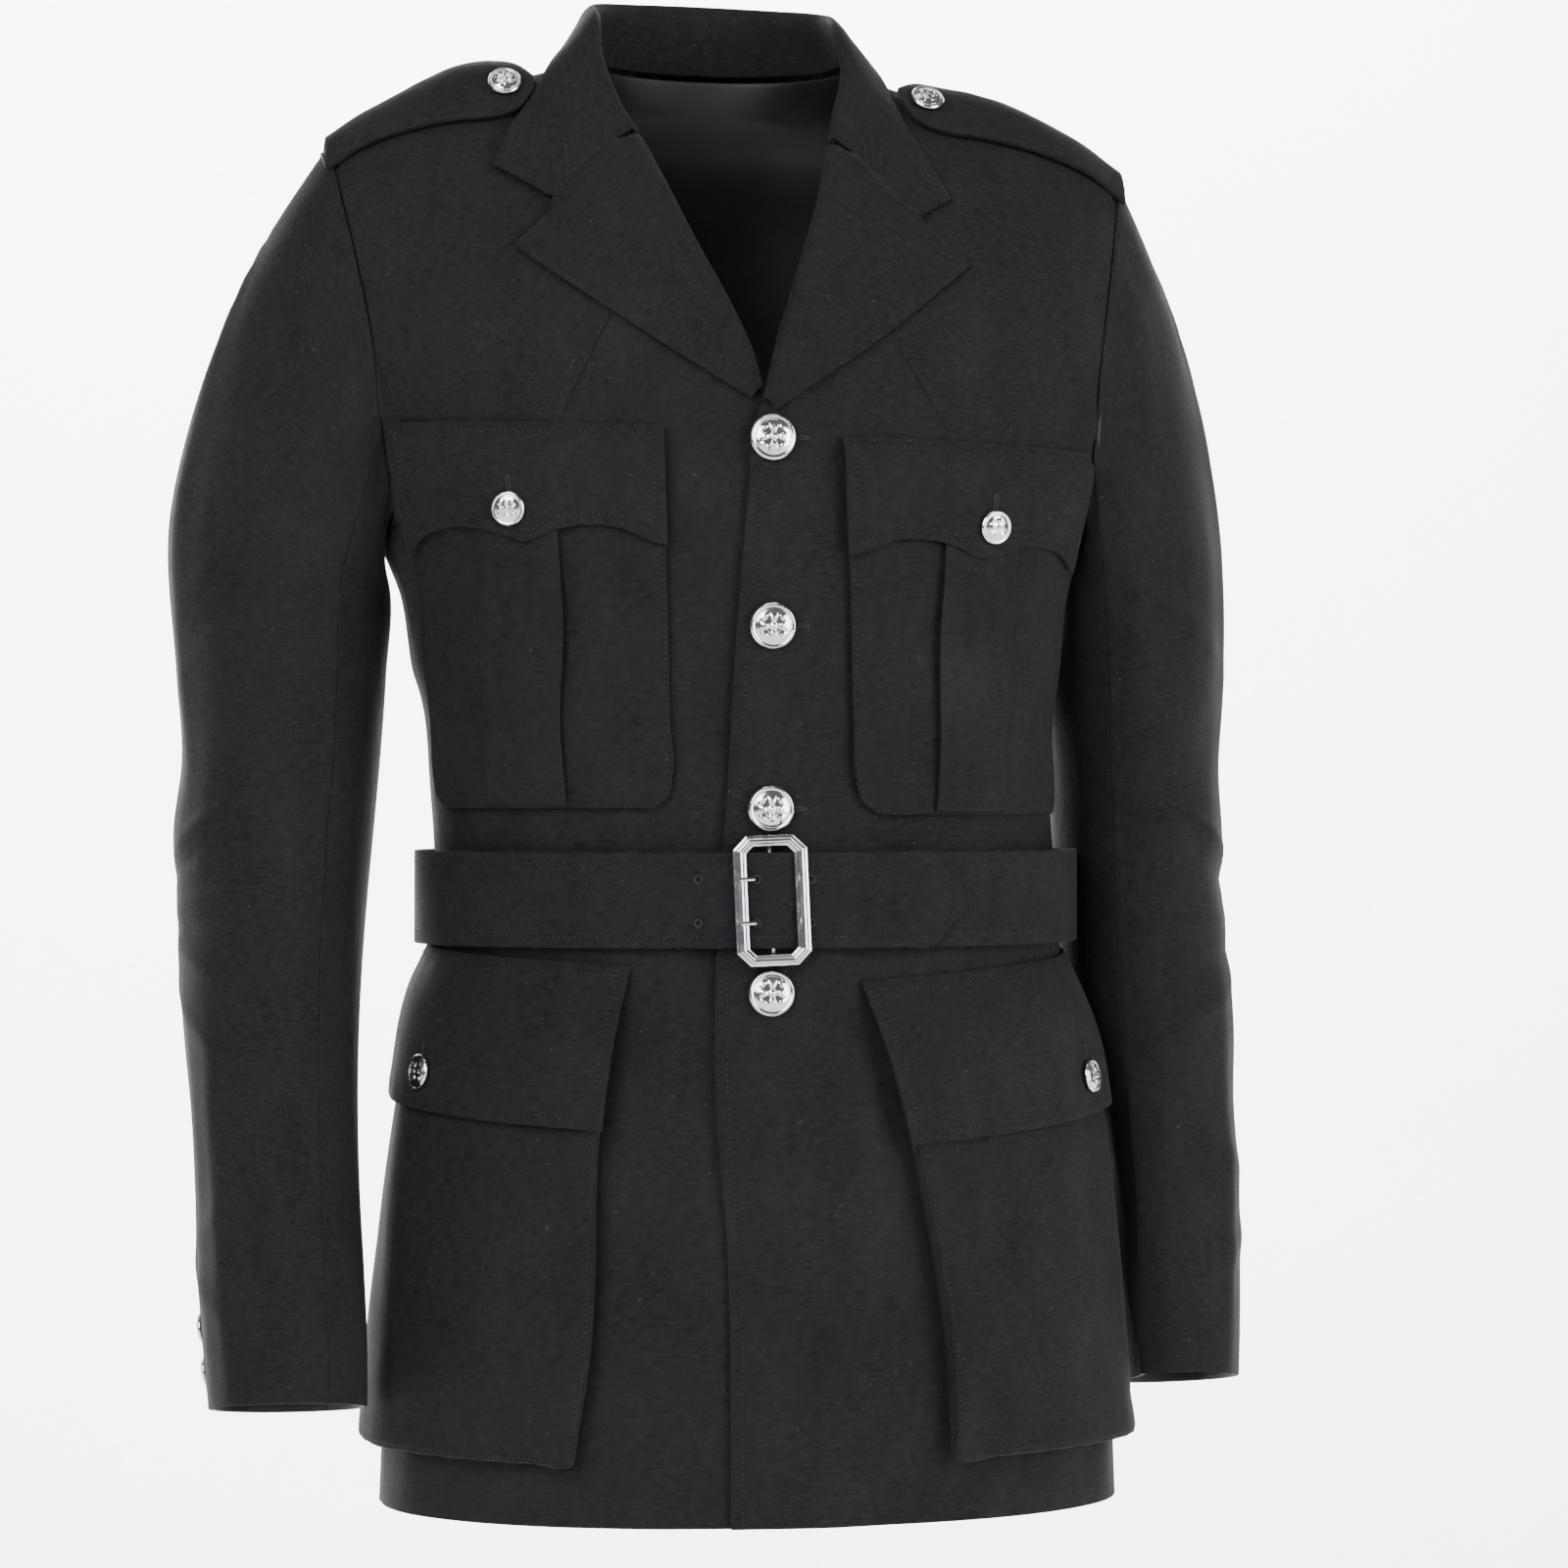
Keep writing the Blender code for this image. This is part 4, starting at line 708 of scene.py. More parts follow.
def epaulette_point(side, x, across):
    """A point of the strap, with across counted along the shoulder from its back edge."""
    inward = (EPAULETTE_OUTER_X - x) / (EPAULETTE_OUTER_X - EPAULETTE_END_X[side])
    y = EPAULETTE_BACK_Y[0] + (EPAULETTE_BACK_Y[1] - EPAULETTE_BACK_Y[0]) * min(inward * 1.2, 1.0)
    z = top_level(x, y)
    step = WALK_STEP
    gone = 0.0
    while gone < across - 1e-6:
        next_z = top_level(x, y - step)
        length = hypot(step, next_z - z)
        share = min((across - gone) / length, 1.0)
        y, z = y - step * share, z + (next_z - z) * share
        gone += length * share
    hump = EPAULETTE_HUMP[side] * bump(x - EPAULETTE_HUMP_X, EPAULETTE_HUMP_HALF)
    hump *= 1 - across / EPAULETTE_WIDTH
    return on_shoulder(side * x, y, EPAULETTE_LIFT + hump)


def add_epaulette(side, name):
    end_x = EPAULETTE_END_X[side]

    def place(u, v):
        t = EPAULETTE_STOPS[round((u if side == RIGHT else 1 - u) * (len(EPAULETTE_STOPS) - 1))]
        x = EPAULETTE_OUTER_X + (end_x - EPAULETTE_OUTER_X) * t
        across = EPAULETTE_WIDTH / 2 + epaulette_half_width(side, x) * (1 - 2 * v)
        return epaulette_point(side, x, across)

    add_sheet(name, len(EPAULETTE_STOPS) - 1, EPAULETTE_ROWS, place, EPAULETTE_THICKNESS)


# side: flap top, mouth, bottom, pleat lean at the bottom
BREAST = {RIGHT: (-207, -221, -402, 2), LEFT: (-210, -224, -405, -10)}
BREAST_S = (47, 191)
BREAST_LIFT = 4.0 * MM
PLEAT_RAISE = 1.4 * MM
# s of each column, 1 on the raised pleat and 0 beside it, share of the pleat's lean
BREAST_COLUMNS = [(47, 0, 0), (73, 0, 0.4), (99.5, 0, 1), (102.5, 1, 1), (122, 1, 1),
                  (141.5, 1, 1), (144.5, 0, 1), (168, 0, 0.4), (193, 0, 0)]
# height above the bottom, inset of the side edges
BREAST_ROWS = [(0, 12), (5, 4), (17, 0), (45, 0), (80, 0), (115, 0), (150, 0)]
FLAP_GAP = 2.4 * MM
BREAST_FLAP_COLUMNS = 12
BREAST_CORNER = 40 * MM
# drop as a share of the flap's depth, lift of the outer face
BREAST_FLAP_LIFT = BREAST_LIFT + PLEAT_RAISE + FLAP_GAP
BREAST_FLAP_ROWS = [(0.0, 2.6 * MM), (0.12, 7.2 * MM), (0.4, BREAST_FLAP_LIFT),
                    (0.7, BREAST_FLAP_LIFT), (1.0, BREAST_FLAP_LIFT)]
# s of the flap's side edges: inner, outer at the top, outer at the lower edge
BREAST_FLAP_S = (46, 191, 186)
BREAST_BUTTON_S, BREAST_BUTTON_DROP = 0.125, 43.0 * MM
# share of the width from the inner side, drop from the flap's top: the flap's lower edge
BREAST_FLAP_EDGE = [(0, 62), (5, 61), (14, 54), (30, 51.5), (42, 55), (52, 60), (62, 55),
                    (76, 51.5), (90, 55), (100, 64)]


def add_breast_pocket(side, name):
    _top, mouth, bottom, lean = (mm(v) for v in BREAST[side])
    columns, rows = len(BREAST_COLUMNS) - 1, len(BREAST_ROWS)
    middle = mm(sum(BREAST_S)) / 2

    def place(u, v):
        s, raised, lean_share = BREAST_COLUMNS[round((u if side == LEFT else 1 - u) * columns)]
        row = round(v * rows)
        height, inset = BREAST_ROWS[row] if row < rows else (0, 0)
        level = bottom + mm(height) if row < rows else mouth
        drop = (mouth - level) / (mouth - bottom)
        s = mm(s) + lean * drop * lean_share
        if s < middle - BREAST_CORNER:
            s += mm(inset)
        elif s > middle + BREAST_CORNER:
            s -= mm(inset)
        return on_panel(side, s, level, BREAST_LIFT + PLEAT_RAISE * raised)

    add_sheet(name, columns, rows, place, TRIM_CLOTH)


def flap_drop(table, share):
    return mm(smooth(table, share * 100, 1))


def add_breast_flap(side, name):
    top = mm(BREAST[side][0])
    rows = len(BREAST_FLAP_ROWS) - 1
    inner, outer_top, outer_low = (mm(s) for s in BREAST_FLAP_S)

    def place(u, v):
        share = u if side == LEFT else 1 - u
        drop, lift = BREAST_FLAP_ROWS[round((1 - v) * rows)]
        outer = outer_top + (outer_low - outer_top) * drop
        level = top - flap_drop(BREAST_FLAP_EDGE, share) * drop
        return on_panel(side, inner + (outer - inner) * share, level, lift)

    add_sheet(name, BREAST_FLAP_COLUMNS, rows, place, TRIM_CLOTH)


# level, s of the inner edge from the front's middle, right and left
HIP_INNER = [(-736, 104, 92), (-669, 94, 88), (-565, 89.5, 68), (-480, 75, 46)]
HIP_OUTER_S = 0.282
HIP_LEVELS = [-736, -736, -735, -715, -680, -640, -600, -560]
HIP_MOUTH = {RIGHT: [-525, -500], LEFT: [-533, -512]}
# lift of each row from the bottom, and of the outermost columns, and their fold inwards
HIP_LIFTS = [2.0, 6.0, 9.5, 10.5, 10.5, 10.5, 10.5, 10.0, 8.5, 4.5]
HIP_GUSSET = [2.0, 6.0, 9.5]
HIP_PINCH = [0.0, 1.4, -0.4]
HIP_CORNER_STEP = 1.6 * MM
HIP_MOUTH_STEP = 2.0 * MM
HIP_FLAT_COLUMNS = 6
HIP_FLAP_COLUMNS = 14
# drop as a share of the flap's depth, lift of the outer face
HIP_FLAP_ROWS = [(0.0, 2.4), (0.1, 5.4), (0.28, 10.5), (0.5, 13.6), (0.76, 14.4), (1.0, 14.6)]
HIP_FLAP_OVERHANG = 3.0 * MM
HIP_FLAP_TOP = [(0, -483, -491), (40, -478, -484), (100, -471, -474)]
HIP_FLAP_EDGE = [(0, 84.5), (50, 84), (100, 79)]


def hip_inner_s(side, level):
    return mm(smooth(HIP_INNER, level / MM, 1 if side == RIGHT else 2))


def gusset_inset(ring_index, steps, height):
    """How far in from the outline a point of the gusset lies, with its corners mitred."""
    fold = mm(HIP_PINCH[ring_index]) * height + ring_index * HIP_MOUTH_STEP * (1 - height)
    return fold + (steps - ring_index) * HIP_CORNER_STEP


def add_hip_pocket(side, name):
    levels = HIP_LEVELS + HIP_MOUTH[side]
    rows = len(levels) - 1
    gusset = len(HIP_GUSSET)
    columns = HIP_FLAT_COLUMNS + 2 * gusset

    def place(u, v):
        row = round(v * rows)
        column = round((u if side == LEFT else 1 - u) * columns)
        from_end = min(column, columns - column)
        ring_index = min(from_end, row, gusset)
        level = mm(levels[row])
        height = 1.0
        if row < gusset:
            level = mm(levels[0]) + gusset_inset(ring_index, row, height)
        else:
            height = (HIP_LIFTS[row] - HIP_GUSSET[0]) / (max(HIP_LIFTS) - HIP_GUSSET[0])
        lift = HIP_LIFTS[row]
        if ring_index < gusset:
            lift = HIP_GUSSET[0] + (HIP_GUSSET[ring_index] - HIP_GUSSET[0]) * height
        inner = hip_inner_s(side, level)
        if from_end < gusset:
            inset = gusset_inset(ring_index, from_end, height)
            s = inner + inset if column < gusset else HIP_OUTER_S - inset
        else:
            t = (column - gusset + 1) / (HIP_FLAT_COLUMNS + 2)
            s = inner + (HIP_OUTER_S - inner) * t
        return on_panel(side, s, level, mm(lift))

    add_sheet(name, columns, rows, place, TRIM_CLOTH)


def add_hip_flap(side, name):
    rows = len(HIP_FLAP_ROWS) - 1

    def place(u, v):
        share = u if side == LEFT else 1 - u
        drop, lift = HIP_FLAP_ROWS[round((1 - v) * rows)]
        top = mm(smooth(HIP_FLAP_TOP, share * 100, 1 if side == RIGHT else 2))
        level = top - flap_drop(HIP_FLAP_EDGE, share) * drop
        inner = hip_inner_s(side, level) - HIP_FLAP_OVERHANG
        s = inner + (HIP_OUTER_S + HIP_FLAP_OVERHANG - inner) * share
        return on_panel(side, s, level, mm(lift))

    add_sheet(name, HIP_FLAP_COLUMNS, rows, place, TRIM_CLOTH)


# s from the front's middle, lift of the outer face: the start, and the end one turn later
BELT_START = [(0, 7.5), (25, 7.5), (60, 7.4), (100, 7.6), (140, 8.6), (175, 10), (210, 11),
              (240, 11), (275, 9.5), (310, 7.8)]
BELT_END = [(-310, 7.8), (-275, 9.5), (-240, 11), (-210, 11), (-175, 10), (-140, 8.6), (-100, 7.6),
            (-62, 7.4), (-38, 8.3), (-24, 10.2), (-17, 10.4), (-12, 10.7), (-6, 13.4), (0, 14.2),
            (6, 12.8), (12, 10.7), (22, 10.5), (45, 10.4), (70, 10.4), (83, 10.4), (93, 10.4),
            (106, 10.4)]
BELT_BACK_COLUMNS = 12
BELT_BACK_LIFT = 7.4 * MM
BELT_ROWS = 3
TIP_SHARE = 0.06
BUCKLE_S = -1.5 * MM
TIP_START_S, TIP_S = 0.083, 0.106
EYELET_X = 7.5 * MM
EYELET_RISE = 11.25 * MM
EYELET_RADIUS = 2.6 * MM


def belt_run():
    """The belt's stops, as (s, lift, half width), from its start to its tip."""
    girth = 2 * s_round(BELT_Z)
    stops = [(mm(s) + BUCKLE_S, mm(lift)) for s, lift in BELT_START]
    first, last = stops[-1][0], girth + mm(BELT_END[0][0])
    for i in range(1, BELT_BACK_COLUMNS):
        stops.append((first + (last - first) * i / BELT_BACK_COLUMNS, BELT_BACK_LIFT))
    stops += [(girth + mm(s) + BUCKLE_S, mm(lift)) for s, lift in BELT_END]
    widths = []
    for s, lift in stops:
        past = (s - girth - BUCKLE_S - TIP_START_S) / (TIP_S - TIP_START_S)
        taper = 1.0 if past <= 0 else max(TIP_SHARE, 1 - past)
        widths.append((s, lift, BELT_WIDTH / 2 * taper))
    return widths


def seat(s, level, lift, tilt=0.0):
    """The frame of a hard piece on the body: X along, Y up, Z out."""
    out = body_normal(s, level)
    along = Vector((0, 0, 1)).cross(out).normalized()
    frame = Matrix((along, out.cross(along), out)).transposed().to_4x4()
    place = Matrix.Translation(on_body(s, level) + out * lift)
    return place @ frame @ Matrix.Rotation(tilt, 4, "Z")


BUCKLE_WIDTH, BUCKLE_HEIGHT = 38.8 * MM, 67.0 * MM
WINDOW_WIDTH, WINDOW_HEIGHT = 24.5 * MM, 55.6 * MM
BUCKLE_CORNER = 7.0 * MM
BUCKLE_BACK, BUCKLE_FRONT = 11.5 * MM, 14.9 * MM
BUCKLE_TILT = radians(2.3)
BAR_LIFT = 9.4 * MM
LUG_RADIUS, LUG_DEPTH, LUG_INSET = 2.2 * MM, 4.4 * MM, 1.4 * MM
BUTTON_GAP = 0.45 * MM
FRONT_BUTTON_X = 0.010
FRONT_BUTTON_LEVELS = [-212, -308, -402, -497]
# s and level
HIP_BUTTONS = {RIGHT: (-188, -541), LEFT: (181, -546)}
HIP_BUTTON_LIFT = 15.1 * MM
EPAULETTE_BUTTON_INSET = 15.0 * MM
CUFF_BUTTON_LEVELS = (-675, -697)
CUFF_BUTTON_ANGLE = -22.0
FRAME_STEP = 5.0 * MM
FRAME_ANGLE = 6.0


def flat_frame(base, ahead, below):
    """A button's frame on a surface through three points: X ahead, Z out."""
    along = (ahead - base).normalized()
    out = along.cross(below - base).normalized()
    frame = Matrix((along, out.cross(along), out)).transposed().to_4x4()
    return Matrix.Translation(base + out * BUTTON_GAP) @ frame


# Finer sheets: each runs smoothly through the points of its solid.

FINE_STEP = 4.5 * MM
PIECES = {}


def along(points, places):
    """Points of the smooth curves through each row of points, at places counted in points."""
    gap = np.linalg.norm(np.diff(points, axis=1), axis=2)[..., None] + 1e-9
    chord = np.diff(points, axis=1) / gap
    tangent = np.empty_like(points)
    tangent[:, 0], tangent[:, -1] = chord[:, 0], chord[:, -1]
    tangent[:, 1:-1] = chord[:, :-1] * gap[:, 1:] + chord[:, 1:] * gap[:, :-1]
    tangent[:, 1:-1] /= gap[:, :-1] + gap[:, 1:]
    i = np.minimum(places.astype(int), points.shape[1] - 2)
    t = (places - i)[None, :, None]
    a, b = points[:, i], points[:, i + 1]
    leave, arrive = tangent[:, i] * gap[:, i], tangent[:, i + 1] * gap[:, i]
    return (a * (1 + 2 * t) * (1 - t) ** 2 + leave * t * (1 - t) ** 2
            + b * (3 - 2 * t) * t ** 2 + arrive * t ** 2 * (t - 1))


def fine_places(lengths, step):
    """Where to cut a run of cells, each into equal shares no longer than a step."""
    places = []
    for cell, length in enumerate(lengths):
        cuts = max(1, ceil(length / step))
        places += [cell + i / cuts for i in range(cuts)]
    return np.array(places + [len(lengths)], float)


def normals_of(grid):
    normal = np.cross(np.gradient(grid, axis=0), np.gradient(grid, axis=1))
    return normal / (np.linalg.norm(normal, axis=2)[..., None] + 1e-12)


def run_lengths(grid, axis):
    """Lengths along the grid's lines from their first points."""
    step = np.linalg.norm(np.diff(grid, axis=axis), axis=2)
    first = np.zeros_like(np.take(step, [0], axis=axis))
    return np.cumsum(np.concatenate([first, step], axis=axis), axis=axis)


def grid_object(name, grid, materials, run_u, run_v):
    """A sheet of quads through a grid of points, with its own lengths in metres as its UVs."""
    nu, nv = grid.shape[:2]
    bm = bmesh.new()
    bmesh.ops.create_grid(bm, x_segments=nu - 1, y_segments=nv - 1, size=0.5)
    place = {}
    for vert in bm.verts:
        i, j = round((vert.co.x + 0.5) * (nu - 1)), round((vert.co.y + 0.5) * (nv - 1))
        place[vert] = (i, j)
        vert.co = grid[i, j]
    layer = bm.loops.layers.uv.new("cloth")
    for face in bm.faces:
        face.smooth = True
        for loop in face.loops:
            i, j = place[loop.vert]
            loop[layer].uv = (run_u[i], run_v[j])
    mesh = bpy.data.meshes.new(name)
    bm.to_mesh(mesh)
    bm.free()
    for material in materials:
        mesh.materials.append(material)
    thing = bpy.data.objects.new(name, mesh)
    bpy.context.scene.collection.objects.link(thing)
    return thing


def add_sheet(name, columns, rows, place, thickness=CLOTH):
    """A sheet of cloth in the place of the solid of that name."""
    control = np.array([[lean(place(i / columns, j / rows)) for i in range(columns + 1)]
                        for j in range(rows + 1)])
    us = fine_places(run_lengths(control, 1)[:, 1:].mean(0) - run_lengths(control, 1)[:, :-1].mean(0),
                     FINE_STEP)
    vs = fine_places(run_lengths(control, 0)[1:].mean(1) - run_lengths(control, 0)[:-1].mean(1),
                     FINE_STEP)
    grid = along(along(control, us).transpose(1, 0, 2), vs)
    if name in DETAIL:
        DETAIL[name](grid)
    u_run, v_run = run_lengths(grid, 0), run_lengths(grid, 1)
    thing = grid_object(f"cloth_{name}", grid, [WOOL, INSIDE], u_run.mean(1), v_run.mean(0))
    wall = thing.modifiers.new("cloth wall", "SOLIDIFY")
    wall.thickness = thickness
    wall.offset = -1
    wall.material_offset = 1 if name in LINED else 0
    wall.material_offset_rim = 0
    edge = thing.modifiers.new("soft edges", "BEVEL")
    edge.width = EDGE_ROUNDING
    edge.segments = 2
    edge.limit_method = "ANGLE"
    edge.angle_limit = radians(55)
    wide, long = float(u_run.max()), float(v_run.max())
    across = np.linalg.norm(np.cross(grid[1:, :-1] - grid[:-1, :-1], grid[:-1, 1:] - grid[:-1, :-1]),
                            axis=2)
    area = min(float(across.sum()), wide * long)
    PIECES[name] = {"object": thing, "grid": grid, "normal": normals_of(grid), "u": u_run,
                    "v": v_run, "flat": (wide, long), "area": area, "with": []}
    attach(thing, "root")
    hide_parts(name.replace("pleat", "breast_pocket"))
    return thing


EDGE_ROUNDING = 0.45 * MM
LINED = {"front_right", "front_left", "back", "sleeve_top_right", "sleeve_top_left",
         "sleeve_under_right", "sleeve_under_left"}


# Seams are closed here, and the breast pockets' raised pleats are strips of their own.
SLEEVE_SEAM_HALF = {RIGHT: 0.2, LEFT: 0.2}
ARMHOLE_GAP, ARMHOLE_TOP_GAP, ARMHOLE_LOW_GAP = 0.8 * MM, 0.2 * MM, 0.5 * MM
# s of each column, its height as a share of the pleat's, share of the pleat's lean
BREAST_COLUMNS = [(47, 0, 0), (73, 0, 0.4), (90, 0, 1), (96, -0.9, 1), (102, -0.9, 1), (112, 0, 1),
                  (144, 0, 1), (168, 0, 0.4), (193, 0, 0)]
# s of the strip's inner and outer edges
PLEAT_S = (100, 144)
PLEAT_COLUMNS, PLEAT_ROWS = 6, 9
PLEAT_GAPE = 2.2 * MM
PLEAT_SWAY = 1.6 * MM


def add_pleat(side, word):
    """The box pleat of a breast pocket: a strip that lies flat outside and gapes at its inner edge."""
    _top, mouth, bottom, lean_low = (mm(v) for v in BREAST[side])
    inner, outer = (mm(s) for s in PLEAT_S)

    def place(u, v):
        share = u if side == LEFT else 1 - u
        level = bottom + mm(1.5) + (mouth - mm(4) - bottom) * v
        drop = (mouth - level) / (mouth - bottom)
        open_share = sin(pi * min(1.0, max(0.0, 1.15 * v))) ** 0.7 if v < 0.87 else 0.0
        edge = (1 - share) ** 2
        s = inner + (outer - inner) * share + lean_low * drop
        s += PLEAT_SWAY * edge * sin(9.0 * v) * open_share
        return on_panel(side, s, level, BREAST_LIFT + PLEAT_RAISE + PLEAT_GAPE * edge * open_share)

    strip = add_sheet(f"pleat_{word}", PLEAT_COLUMNS, PLEAT_ROWS, place, 1.1 * MM)
    return strip


# Small folds, puckers and seams that the solids don't have, moved along the cloth's own normal.

# x, z, half width, half height, turn in degrees, depth: drags and dents in the fronts and the back
BODY_CREASES = [
    (-22, -575, 5, 60, 4, -1.3),
    (8, -610, 7, 75, -3, 1.4),
    (38, -640, 6, 70, 2, -1.2),
    (62, -560, 6, 40, 14, 1.1),
    (-70, -600, 6, 80, -3, 1.0),
    (120, -425, 5, 26, 62, 1.0),
    (104, -415, 5, 30, 58, -0.9),
    (-118, -428, 5, 26, -58, 0.9),
    (152, -300, 6, 40, 30, 1.1),
    (-150, -300, 6, 42, -30, 1.1),
    (-30, -250, 8, 40, 12, 0.8),
    (40, -262, 7, 42, -16, 0.8),
    (16, -355, 5, 26, 70, 0.7),
    (-120, -120, 9, 40, 20, 0.8),
    (126, -125, 9, 42, -22, 0.8),
]
# the front darts: x and z of the top, of the bottom
DARTS = [(-72.6, -146.4, -96, -199), (75.2, -158.5, 103.4, -208)]
PUCKER_PITCH = 7.0 * MM
CREASE_STRENGTH = 1.35


def oval(dx, dz, half_width, half_height, turn):
    angle = radians(turn)
    across = dx * np.cos(angle) + dz * np.sin(angle)
    down = dz * np.cos(angle) - dx * np.sin(angle)
    return np.exp(-(across / half_width) ** 2 - (down / half_height) ** 2)


def crease_body(front):
    def change(grid):
        normal = normals_of(grid)
        x, z = grid[..., 0], grid[..., 2]
        out = np.zeros(x.shape)
        if front:
            for cx, cz, half_width, half_height, turn, depth in BODY_CREASES:
                out += mm(depth) * oval(x - mm(cx), z - mm(cz), mm(half_width), mm(half_height), turn)
        else:
            for k in range(5):
                cx, lean_x = mm(-90 + 44 * k), mm(6 * (k % 3) - 6)
                out += mm(1.3) * oval(x - cx, z + mm(600 + 12 * (k % 2)), mm(8), mm(95), lean_x / mm(2))
            out += mm(1.2) * oval(x, z + mm(425), mm(60), mm(6), 3)
            out -= mm(1.0) * oval(x - mm(30), z + mm(405), mm(70), mm(6), -5)
        grid += normal * (CREASE_STRENGTH * out)[..., None]
    return change


# z, how far round from the outer side in degrees, half height, half reach, slope, depth
ARM_CREASES = {
    RIGHT: [(-402, 62, 5, 40, 0.5, 2.0), (-424, 40, 6, 46, 0.35, -1.5), (-446, 66, 5, 42, 0.2, 2.2),
            (-470, 48, 6, 44, -0.1, -1.7), (-492, 70, 5, 40, -0.35, 1.8), (-520, 44, 7, 50, -0.5, 1.3),
            (-300, 76, 6, 34, 0.7, 1.4), (-262, 70, 6, 30, 0.9, 1.1), (-610, 60, 8, 44, 0.4, 1.0),
            (-655, 30, 8, 50, -0.4, 0.9)],
    LEFT: [(-410, 66, 5, 42, 0.4, 2.0), (-436, 44, 6, 44, 0.2, -1.6), (-462, 70, 5, 40, 0.0, 2.0),
           (-486, 52, 6, 44, -0.2, -1.5), (-515, 72, 5, 40, -0.4, 1.6), (-300, 76, 6, 34, 0.7, 1.3),
           (-585, 60, 8, 44, 0.4, 1.0), (-640, 36, 8, 50, -0.3, 0.9)],
}
# angle, half reach, top, bottom, depth: long folds down the sleeves
ARM_FOLDS = [(28, 9, -110, -380, 1.5), (-20, 10, -120, -400, 1.2), (50, 8, -510, -700, 1.0),
             (8, 10, -500, -690, -0.9), (95, 9, -150, -330, 1.2)]


def crease_sleeve(side):
    def change(grid):
        normal = normals_of(grid)
        middles = np.array([[smooth(SLEEVE[side], min(z / MM, -290.0), c) * MM for c in (1, 4)]
                            for z in grid[..., 2].ravel()]).reshape(*grid.shape[:2], 2)
        angle = np.degrees(np.arctan2(-(grid[..., 1] - middles[..., 1]),
                                      side * grid[..., 0] - middles[..., 0]))
        z = grid[..., 2]
        out = np.zeros(z.shape)
        for cz, turn, half_height, reach, slope, depth in ARM_CREASES[side]:
            off = (angle - turn + 180) % 360 - 180
            out += mm(depth) * np.exp(-((z - mm(cz) - mm(slope) * off) / mm(half_height)) ** 2
                                      - (off / reach) ** 2)
        for turn, half_reach, top, bottom, depth in ARM_FOLDS:
            off = (angle - turn + 180) % 360 - 180
            fade = 1 / (1 + np.exp((z - mm(top)) / mm(12))) / (1 + np.exp((mm(bottom) - z) / mm(12)))
            out += mm(depth) * np.exp(-(off / half_reach) ** 2) * fade
        out *= np.clip((-mm(75) - z) / mm(30), 0, 1)
        grid += normal * (CREASE_STRENGTH * out)[..., None]
    return change


def pucker_edges(depth):
    """Small waves beside the sewn edges of a piece."""
    def change(grid):
        normal = normals_of(grid)
        u, v = run_lengths(grid, 0), run_lengths(grid, 1)
        from_side = np.minimum(u, u[-1:] - u)
        from_end = np.minimum(v, v[:, -1:] - v)
        near = np.exp(-((from_side - mm(9)) / mm(6)) ** 2) * np.sin(v / PUCKER_PITCH * 2 * pi / 2.3)
        near += np.exp(-((from_end - mm(9)) / mm(6)) ** 2) * np.sin(u / PUCKER_PITCH * 2 * pi / 2.7)
        wander = np.sin(u / mm(31) + 1.3) * np.sin(v / mm(43) + 0.4)
        grid += normal * (mm(depth) * (0.5 * near + wander))[..., None]
    return change


DETAIL = {
    "front_right": crease_body(True),
    "front_left": crease_body(True),
    "back": crease_body(False),
    "breast_pocket_right": pucker_edges(0.35),
    "breast_pocket_left": pucker_edges(0.35),
    "breast_flap_right": pucker_edges(0.25),
    "breast_flap_left": pucker_edges(0.25),
    "hip_pocket_right": pucker_edges(0.5),
    "hip_pocket_left": pucker_edges(0.5),
    "hip_flap_right": pucker_edges(0.4),
    "hip_flap_left": pucker_edges(0.4),
    "collar": pucker_edges(0.2),
    "lapel_right": pucker_edges(0.2),
    "lapel_left": pucker_edges(0.2),
    "epaulette_right": pucker_edges(0.2),
    "epaulette_left": pucker_edges(0.2),
    "belt": pucker_edges(0.15),
}
for SIDE, WORD in ((RIGHT, "right"), (LEFT, "left")):
    DETAIL[f"sleeve_top_{WORD}"] = crease_sleeve(SIDE)
    DETAIL[f"sleeve_under_{WORD}"] = crease_sleeve(SIDE)


# Materials.

def srgb(text):
    """A hex colour as linear values."""
    parts = [int(text[i:i + 2], 16) / 255 for i in (1, 3, 5)]
    return tuple(c / 12.92 if c <= 0.04045 else ((c + 0.055) / 1.055) ** 2.4 for c in parts) + (1.0,)


